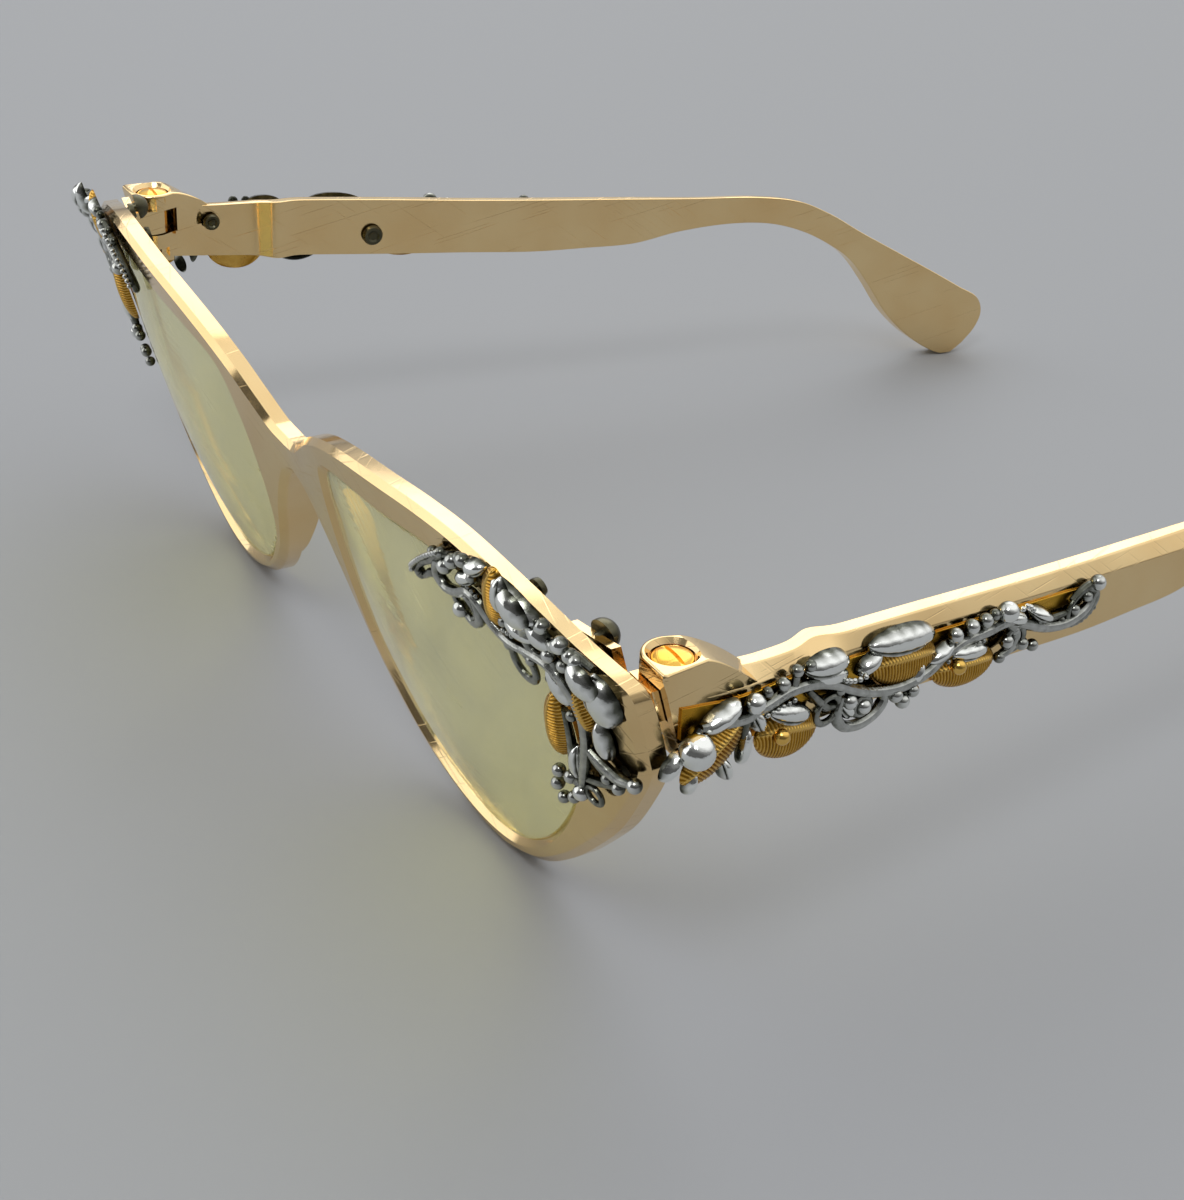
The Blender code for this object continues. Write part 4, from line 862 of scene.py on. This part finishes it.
def add_head(temple):
    """Join the hinge head to the arm: two flanges with a web, a skin outside them and a foot below."""
    end_y = PIVOT_Y - HEAD_RADIUS
    top_loop = head_loop(HEAD_RADIUS, RAMP_END)
    top_head = plan_plate(top_loop, HEAD_ROOT, HINGE_TOP, TOP_HEAD_EDGE)
    run_down(top_head, 0)
    low_loop = head_loop(LOWER_HEAD_RADIUS, HEAD_LENGTH)
    low_head = plan_plate(low_loop, HINGE_BOTTOM, KNUCKLE_BOTTOM + LAP, LOW_HEAD_EDGE)
    web_loop = [Vector((SKIN_INNER, end_y)), plan_at(-HEAD_RADIUS, WEB_INSET), plan_at(HEAD_BEND, WEB_INSET),
                plan_at(HEAD_LENGTH, WEB_INSET), plan_at(HEAD_LENGTH, arm_thickness(HEAD_LENGTH) / 2),
                Vector((PIVOT_X - WEB_THROAT, WEB_START)), Vector((SKIN_INNER, WEB_START))]
    web = plan_plate(web_loop, KNUCKLE_BOTTOM - LAP, KNUCKLE_TOP + WEB_LAP, HIDDEN_EDGE)
    run_down(web, WEB_BELOW)
    skin_loop = [Vector((SKIN_INNER, end_y)), plan_at(-HEAD_RADIUS, SKIN_INSET),
                 plan_at(SKIN_REACH, SKIN_INSET), Vector((SKIN_INNER, PIVOT_Y + SKIN_REACH))]
    skin = plan_plate(skin_loop, SKIN_BOTTOM, KNUCKLE_TOP, HIDDEN_EDGE)
    foot = box_between((temple_x(0) - FOOT_WIDTH, end_y, FOOT_BOTTOM),
                       (*plan_at(FOOT_REACH, FOOT_INSET), HINGE_BOTTOM + FOOT_LAP))
    for part in (top_head, low_head, web, skin, foot):
        combined(temple, part, "UNION")


def cut_head(temple):
    """Cut the knuckle's pocket, the room behind the front, and the screw's recess and bore."""
    pocket = box_between((PIVOT_X - POCKET_REACH, PIVOT_Y - POCKET_REACH, KNUCKLE_BOTTOM),
                         (SKIN_INNER, WEB_START, KNUCKLE_TOP))
    behind = SHEET + HINGE_GAP
    low, high = HINGE_BOTTOM - WEDGE_MARGIN, HINGE_TOP + WEDGE_MARGIN
    low_y, high_y = (front_y(temple_x(-HEAD_RADIUS), z) + behind for z in (low, high))
    wedge = lofted([[(x, low_y - WEDGE_REACH, low), (x, low_y, low), (x, high_y, high),
                     (x, high_y - WEDGE_REACH, high)]
                    for x in (PIVOT_X - WEDGE_REACH, PIVOT_X + WEDGE_REACH)])
    mouth, wall = SCREW_RADIUS + RECESS_MOUTH, SCREW_RADIUS + RECESS_PLAY
    recess = turned([(mouth, HINGE_TOP + 1), (mouth, HINGE_TOP), (wall, HINGE_TOP - RECESS_CONE),
                     (wall, HINGE_TOP - RECESS_DEPTH)])
    bore = turned([(BORE_RADIUS, HINGE_TOP + 1), (BORE_RADIUS, HINGE_BOTTOM - 1)], 24)
    for tool in (recess, bore):
        tool.data.transform(TO_PIVOT)
    for tool in (pocket, wedge, recess, bore):
        combined(temple, tool, "DIFFERENCE")


def make_temples():
    """Build the temples: a smooth arm and a forked hinge head."""
    tops = smooth_path([a for a, _ in STATIONS], steps=14)
    bottoms = [Vector((p.x, max(p.y, 0.0))) for p in smooth_path([b for _, b in STATIONS], steps=14)]
    temple = lofted([arm_section(a, b) for a, b in zip(tops, bottoms)])
    add_head(temple)
    cut_head(temple)
    settle_pair(temple, "temple", "temple", "gold_anodised", GOLD)


def make_screws():
    """Build the hinge screws, each with a slot across its domed head."""
    seat, crown = HINGE_TOP - SCREW_SEAT, HINGE_TOP - SCREW_CROWN
    rim = seat + SCREW_RIM
    cap = [(SCREW_RADIUS * math.cos(a), rim + (crown - rim) * math.sin(a))
           for a in (math.radians(90 * i / 12) for i in range(11, -1, -1))]
    shank = [(SCREW_RADIUS, seat), (SHANK_RADIUS, seat), (SHANK_RADIUS, HINGE_BOTTOM + SCREW_END)]
    screw = turned(cap + shank)
    slot = box_between((-SLOT_REACH, -SLOT_HALF, crown - SLOT_DEPTH),
                       (SLOT_REACH, SLOT_HALF, crown + 1))
    combined(screw, slot, "DIFFERENCE")
    screw.data.transform(TO_PIVOT)
    settle_pair(screw, "hinge_screw", "temple", "brass", BRASS)


# Trim

def surface_frame(place, outward, along):
    """Return a frame whose z points outward and whose x follows a direction."""
    normal = outward.normalized()
    side = normal.cross(along).normalized()
    return Matrix.Translation(place) @ Matrix((side.cross(normal), side, normal)).transposed().to_4x4()


def front_frame_at(x, z, height, turn=0.0):
    """Return the frame of a spot on the front face."""
    slope = (front_y(x + SLOPE_STEP, z) - front_y(x - SLOPE_STEP, z)) / (2 * SLOPE_STEP)
    outward = Vector((slope, -1, -TILT_SLOPE)).normalized()
    along = Vector((math.cos(turn), 0, math.sin(turn)))
    along.y = slope * along.x - TILT_SLOPE * along.z
    return surface_frame(Vector((x, front_y(x, z), z)) + outward * height, outward, along)


def temple_frame_at(y, z, height, turn=0.0):
    """Return the frame of a spot on the left temple's outer face."""
    back = y - PIVOT_MARK
    slope = -CONVERGENCE - 2 * BOW * back
    outward = Vector((1, -slope, 0)).normalized()
    along = Vector((slope * math.cos(turn), math.cos(turn), math.sin(turn)))
    return surface_frame(Vector((temple_x(back), PIVOT_Y + back, z)) + outward * height, outward, along)


def mark_relief(piece, lift):
    """Store how bright a casting is painted, from 0 in the hollows to 1 on the crests: painted shade and
    highlight over real patina and wear.
    """
    patina_and_painted_light = piece.data.attributes.new("patina_and_painted_light", "FLOAT", "POINT")
    for i, vertex in enumerate(piece.data.vertices):
        patina_and_painted_light.data[i].value = clamped((lift(vertex.co) - HOLLOW_LIFT) / (CREST_LIFT - HOLLOW_LIFT))
    return piece


def stem(points, face, radius, rise=STEM_RISE, taper=STEM_TAPER):
    """Return a round stem over a face, thinner at its ends."""
    curve = bpy.data.curves.new("stem", "CURVE")
    curve.dimensions = "3D"
    curve.bevel_depth = radius
    curve.bevel_resolution = 3
    curve.use_fill_caps = True
    path = smooth_path(points, steps=5) if len(points) > 2 else [Vector(p) for p in points]
    spline = curve.splines.new("POLY")
    spline.points.add(len(path) - 1)
    for i, (point, place) in enumerate(zip(spline.points, path)):
        point.co = (*face["frame"](place.x, place.y, rise).translation, 1)
        point.radius = taper + (1 - taper) * min(min(i, len(path) - 1 - i) / TAPERED_POINTS, 1)
    return mark_relief(as_mesh(linked("stem", curve)), face["lift"])


def bead(place, radius, face, lift=TRIM_GAP, rows=12, columns=20):
    """Return a round bead on a face."""
    piece = primitive(bpy.ops.mesh.primitive_uv_sphere_add, segments=columns, ring_count=rows, radius=radius)
    piece.data.transform(face["frame"](*place, radius + lift))
    return mark_relief(piece, face["lift"])


def ring(place, radius, wire, stretch, turn, face):
    """Return a ring of wire that lies on a face."""
    piece = primitive(bpy.ops.mesh.primitive_torus_add, major_radius=radius, minor_radius=wire,
                      major_segments=32, minor_segments=10)
    piece.data.transform(Matrix.Diagonal((stretch, 1, 1, 1)))
    piece.data.transform(face["frame"](*place, STEM_RISE, math.radians(turn)))
    return mark_relief(piece, face["lift"])


def grains(points, face, rise):
    """Return a row of tiny beads along a path, each touching the next."""
    path = smooth_path(points, steps=10)
    row, travelled, here = [], 0.0, path[0]
    for place in path[1:]:
        travelled += (place - here).length
        here = place
        if travelled >= GRAIN_SPACING:
            row.append(bead(tuple(place), GRAIN_RADIUS, face, rise - GRAIN_RADIUS, rows=6, columns=8))
            travelled = 0.0
    return row


def dome(place, length, width, rise, turn, face, shape, columns=72, rows=14, lift=TRIM_GAP):
    """Return a leaf with its back flat on a face, where shape gives its height and how bright it is painted.
    """
    piece = primitive(bpy.ops.mesh.primitive_grid_add, x_subdivisions=columns, y_subdivisions=rows, size=2)
    patina_and_painted_light = piece.data.attributes.new("patina_and_painted_light", "FLOAT", "POINT")
    for i, vertex in enumerate(piece.data.vertices):
        along, across = vertex.co.x, vertex.co.y
        half = max(1 - abs(along) ** TIP_POWER, 0.0) ** TIP_ROUNDNESS
        height, patina_and_painted_light.data[i].value = shape(along, across, length, width)
        vertex.co = (along * length / 2, across * half * width / 2, height * rise * half ** TIP_FALL)
    bpy.ops.object.mode_set(mode="EDIT")
    bpy.ops.mesh.select_all(action="SELECT")
    bpy.ops.mesh.remove_doubles(threshold=POINT_WELD)
    bpy.ops.mesh.select_all(action="DESELECT")
    bpy.ops.mesh.select_non_manifold(extend=False)
    bpy.ops.mesh.edge_face_add()
    bpy.ops.object.mode_set(mode="OBJECT")
    piece.data.transform(face["frame"](*place, lift, math.radians(turn)))
    return face_outwards(piece)


def ribbed(along, across, length, width):
    """Shape a gold leaf: close ribs across it and a smooth raised strip along its middle."""
    crown = math.sqrt(max(1 - across * across, 0.0))
    phase = (along * length / 2 + across * width * RIB_SLANT) / RIB_SPACING * math.tau
    wave = 0.5 + 0.5 * math.cos(phase)
    strip = math.exp(-((across - STRIP_PLACE) / STRIP_WIDTH) ** 4)
    sunk = RIB_DEPTH * (1 - strip) * min(1.0, (1 - abs(across)) * 6)
    # Painted highlight on the rib crests and the middle strip, painted shade between the ribs, over real wear
    # and patina
    wear_and_painted_light = 0.2 + 0.55 * wave * (1 - strip) + 0.9 * strip
    return crown * (1 - sunk * (1 - wave)) + STRIP_HEIGHT * strip, wear_and_painted_light


def lobed(along, across, length, _width):
    """Shape a silver petal: a full crown with soft ridges across it and a groove low on its side."""
    crown = max(1 - abs(across) ** 2.6, 0.0) ** 0.6
    ridge = 0.5 + 0.5 * math.cos((along * length / 2 + RIDGE_SLANT * across) / RIDGE_SPACING * math.tau)
    groove = math.exp(-((across - GROOVE_PLACE) / GROOVE_WIDTH) ** 2)
    # Painted highlight on the crown and painted shade in the groove, over real wear and patina
    wear_and_painted_light = 0.95 * crown + 0.15 * ridge - 0.8 * groove
    return crown * (1 - RIDGE_HEIGHT + RIDGE_HEIGHT * ridge) - GROOVE_DEPTH * groove * crown, wear_and_painted_light


def nearest_on_stems(place, stems):
    """Return the point of the stems that lies nearest to a place."""
    here = Vector(place)
    spots = []
    for points in stems:
        for a, b in zip(map(Vector, points), map(Vector, points[1:])):
            spots.append(a + (b - a) * clamped((here - a).dot(b - a) / (b - a).length_squared))
    return min(spots, key=lambda spot: (spot - here).length)


def joined(pieces, name):
    """Join pieces into one object."""
    bpy.ops.object.select_all(action="DESELECT")
    for piece in pieces:
        piece.select_set(True)
    bpy.context.view_layer.objects.active = pieces[0]
    bpy.ops.object.join()
    pieces[0].name = name
    return pieces[0]


def make_vine(name, trim, face):
    """Build a silver casting: stems, scrolls and rings, with beads and petals on stalks."""
    stems = trim["stems"]
    pieces = [stem(points, face, STEM_RADIUS) for points in stems]
    for place in [b[:2] for b in trim["beads"]] + [p[:2] for p in trim["petals"]]:
        seat = nearest_on_stems(place, stems)
        if SHORTEST_STALK < (seat - Vector(place)).length < LONGEST_STALK:
            pieces.append(stem([place, tuple(seat)], face, STALK_RADIUS, taper=1.0))
    pieces += [stem(points, face, SCROLL_RADIUS, SCROLL_RISE) for points in trim["scrolls"]]
    pieces += [ring(*numbers, face) for numbers in trim["rings"]]
    pieces += [bead((x, z), radius, face) for x, z, radius in trim["beads"] + trim["small_beads"]]
    for points, rise in trim["grains"]:
        pieces += grains(points, face, rise)
    for x, z, length, width, turn in trim["petals"]:
        pieces.append(dome((x, z), length, width, PETAL_RISE, turn, face, lobed))
    for x, z, length, width, turn, lift in trim["caps"]:
        pieces.append(dome((x, z), length, width, CAP_RISE, turn, face, lobed, lift=lift))
    settle_pair(joined(pieces, name), name, face["body"], "silver_plate", SILVER)


def make_leaves(name, leaves, face, nodes=True, knobs=()):
    """Build the ribbed gold leaves, some with a round knob on them."""
    for number, (x, z, length, width, turn) in enumerate(leaves, start=1):
        leaf = dome((x, z), length, width, LEAF_RISE, turn, face, ribbed, columns=150, rows=24)
        if number in knobs:
            leaf = joined([leaf, bead(knobs[number], KNOB_RADIUS, face, KNOB_LIFT)], name)
        settle_pair(leaf, name, face["body"], "leaf_gold", LEAF_GOLD, nodes, f"_{number}")


def make_backing():
    """Lay the deep gold strip that shows along the top of each temple's casting."""
    loop = smooth_path(BACKING_TOP, steps=4) + smooth_path(BACKING_BOTTOM, steps=4)
    loop = offset_loop(loop, -BACKING_EDGE)
    strip = flat_plate("backing", [loop], BACKING_DEPTH, BACKING_EDGE, segments=1)
    sliced(strip, steps_between(*BACKING_SPAN, BACKING_SLICE), (1, 0, 0))
    for vertex in strip.data.vertices:
        place = temple_frame_at(vertex.co.x, vertex.co.z, BACKING_DEPTH - vertex.co.y)
        vertex.co = place.translation
    face_outwards(strip)
    settle_pair(strip, "trim_backing", "temple", "leaf_gold", DEEP_GOLD, nodes=False)


def make_rivets(name, places, face, thickness_at):
    """Build rivets with a dished or domed head on the inner face."""
    for number, (x, z, radius, height) in enumerate(places, start=1):
        under = -thickness_at(x)
        if height > LOWEST_DOME:
            profile = [(math.cos(a), math.sin(a)) for a in (math.radians(90 * i / 10) for i in range(10))]
        else:
            profile = DISHED_HEAD
        head = [(radius * across, under - height * down) for across, down in profile]
        rivet = turned([(RIVET_RADIUS, 0), (RIVET_RADIUS, under)] + head, 32)
        rivet.data.transform(face["frame"](x, z, 0))
        settle_pair(rivet, name, face["body"], "dark_rivet", DARK_BRASS, number=f"_{number}")


# A face gives the frame of a spot on it, how far a place stands over it and the body it belongs to.
FRONT_FACE = {"frame": front_frame_at, "body": "front",
              "lift": lambda place: (front_y(place.x, place.z) - place.y) * LEAN}
TEMPLE_FACE = {"frame": temple_frame_at, "body": "temple",
               "lift": lambda place: place.x - temple_x(place.y - PIVOT_Y)}

make_front()
make_flanges()
make_lenses()
make_temples()
make_screws()
make_vine("front_vine", FRONT_TRIM, FRONT_FACE)
make_vine("temple_vine", TEMPLE_TRIM, TEMPLE_FACE)
make_leaves("front_leaf", FRONT_LEAVES, FRONT_FACE)
make_leaves("temple_leaf", TEMPLE_LEAVES, TEMPLE_FACE, knobs=TEMPLE_KNOBS)
make_leaves("front_small_leaf", FRONT_SMALL_LEAVES, FRONT_FACE, nodes=False)
make_backing()
make_rivets("lug_rivet", LUG_RIVETS, FRONT_FACE,
            lambda x: (SHEET + SEAT_GAP + LUG_THICKNESS) * LEAN + SEAT_GAP)
make_rivets("front_trim_rivet", FRONT_TRIM_RIVETS, FRONT_FACE, lambda x: SHEET * LEAN + SEAT_GAP)
make_rivets("temple_trim_rivet", TEMPLE_TRIM_RIVETS, TEMPLE_FACE,
            lambda y: arm_thickness(y - PIVOT_MARK - RIVET_REACH) + SEAT_GAP)
for side in ("left", "right"):
    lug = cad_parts["hinge_lug_" + side]
    lug.data.materials.clear()
    lug.data.materials.append(GOLD)


# Floor, light and camera, in metres. Each lamp has a place, a size and a power, and points at the origin. The
# camera's axes point right, up and back.

FLOOR_RADIUS = 3.0
FLOOR_DROP = 0.0002
WINDOW_SIDE = (-0.2, 0.45, 0.87)
LAMPS = [("window", (-1.0, 0.75, 1.05), 1.3, 6.8), ("ceiling", (0.42, -0.5, 1.0), 0.34, 2.6),
         ("side", (-0.75, -0.89, 0.36), 1.5, 8.5)]
CAMERA_PLACE = (0.20747, -0.15014, 0.14132)
CAMERA_AXES = ((0.4969, 0.86711, 0.03482), (-0.41792, 0.20394, 0.8853), (0.76055, -0.45446, 0.46372))
CAMERA_LENS = 69.64
CAMERA_SHIFT = -0.0753
SENSOR_WIDTH = 36
NEAREST_SIGHT = 0.01


def make_stage():
    """Lay the pale floor and hang the soft lights."""
    floor = primitive(bpy.ops.mesh.primitive_circle_add, vertices=96, radius=FLOOR_RADIUS, fill_type="NGON")
    floor.location.z = -FLOOR_DROP
    floor.name = "floor"
    material, tree, shader = new_material("pale_floor")
    feed(tree, shader, {"Base Color": srgb("989A9D"), "Roughness": 0.75})
    floor.data.materials.append(material)
    world = bpy.data.worlds.new("studio")
    bpy.context.scene.world = world
    world.use_nodes = True
    tree = world.node_tree
    direction = add_node(tree, "ShaderNodeTexCoord").outputs["Generated"]
    towards = add_node(tree, "ShaderNodeVectorMath", {0: direction, 1: WINDOW_SIDE}, operation="DOT_PRODUCT")
    sky = ramp(tree, towards.outputs["Value"], [(0.0, "565656"), (0.35, "8E8E8E"), (0.72, "FFFFFF")])
    feed(tree, tree.nodes["Background"], {"Color": sky, "Strength": 1.0})
    for name, place, size, power in LAMPS:
        lamp = bpy.data.lights.new(name, "AREA")
        lamp.size = size
        lamp.energy = power
        light = linked(name, lamp)
        light.location = place
        light.rotation_euler = Vector(place).to_track_quat("Z", "Y").to_euler()


def make_camera():
    """Set the camera at the photograph's viewing angle."""
    camera = bpy.data.cameras.new("camera")
    camera.sensor_fit = "HORIZONTAL"
    camera.sensor_width = SENSOR_WIDTH
    camera.lens = CAMERA_LENS
    camera.shift_y = CAMERA_SHIFT
    camera.clip_start = NEAREST_SIGHT
    view = linked("camera", camera)
    view.matrix_world = Matrix.Translation(CAMERA_PLACE) @ Matrix(CAMERA_AXES).transposed().to_4x4()
    bpy.context.scene.camera = view


make_stage()
make_camera()
bpy.context.scene.view_settings.view_transform = "Standard"
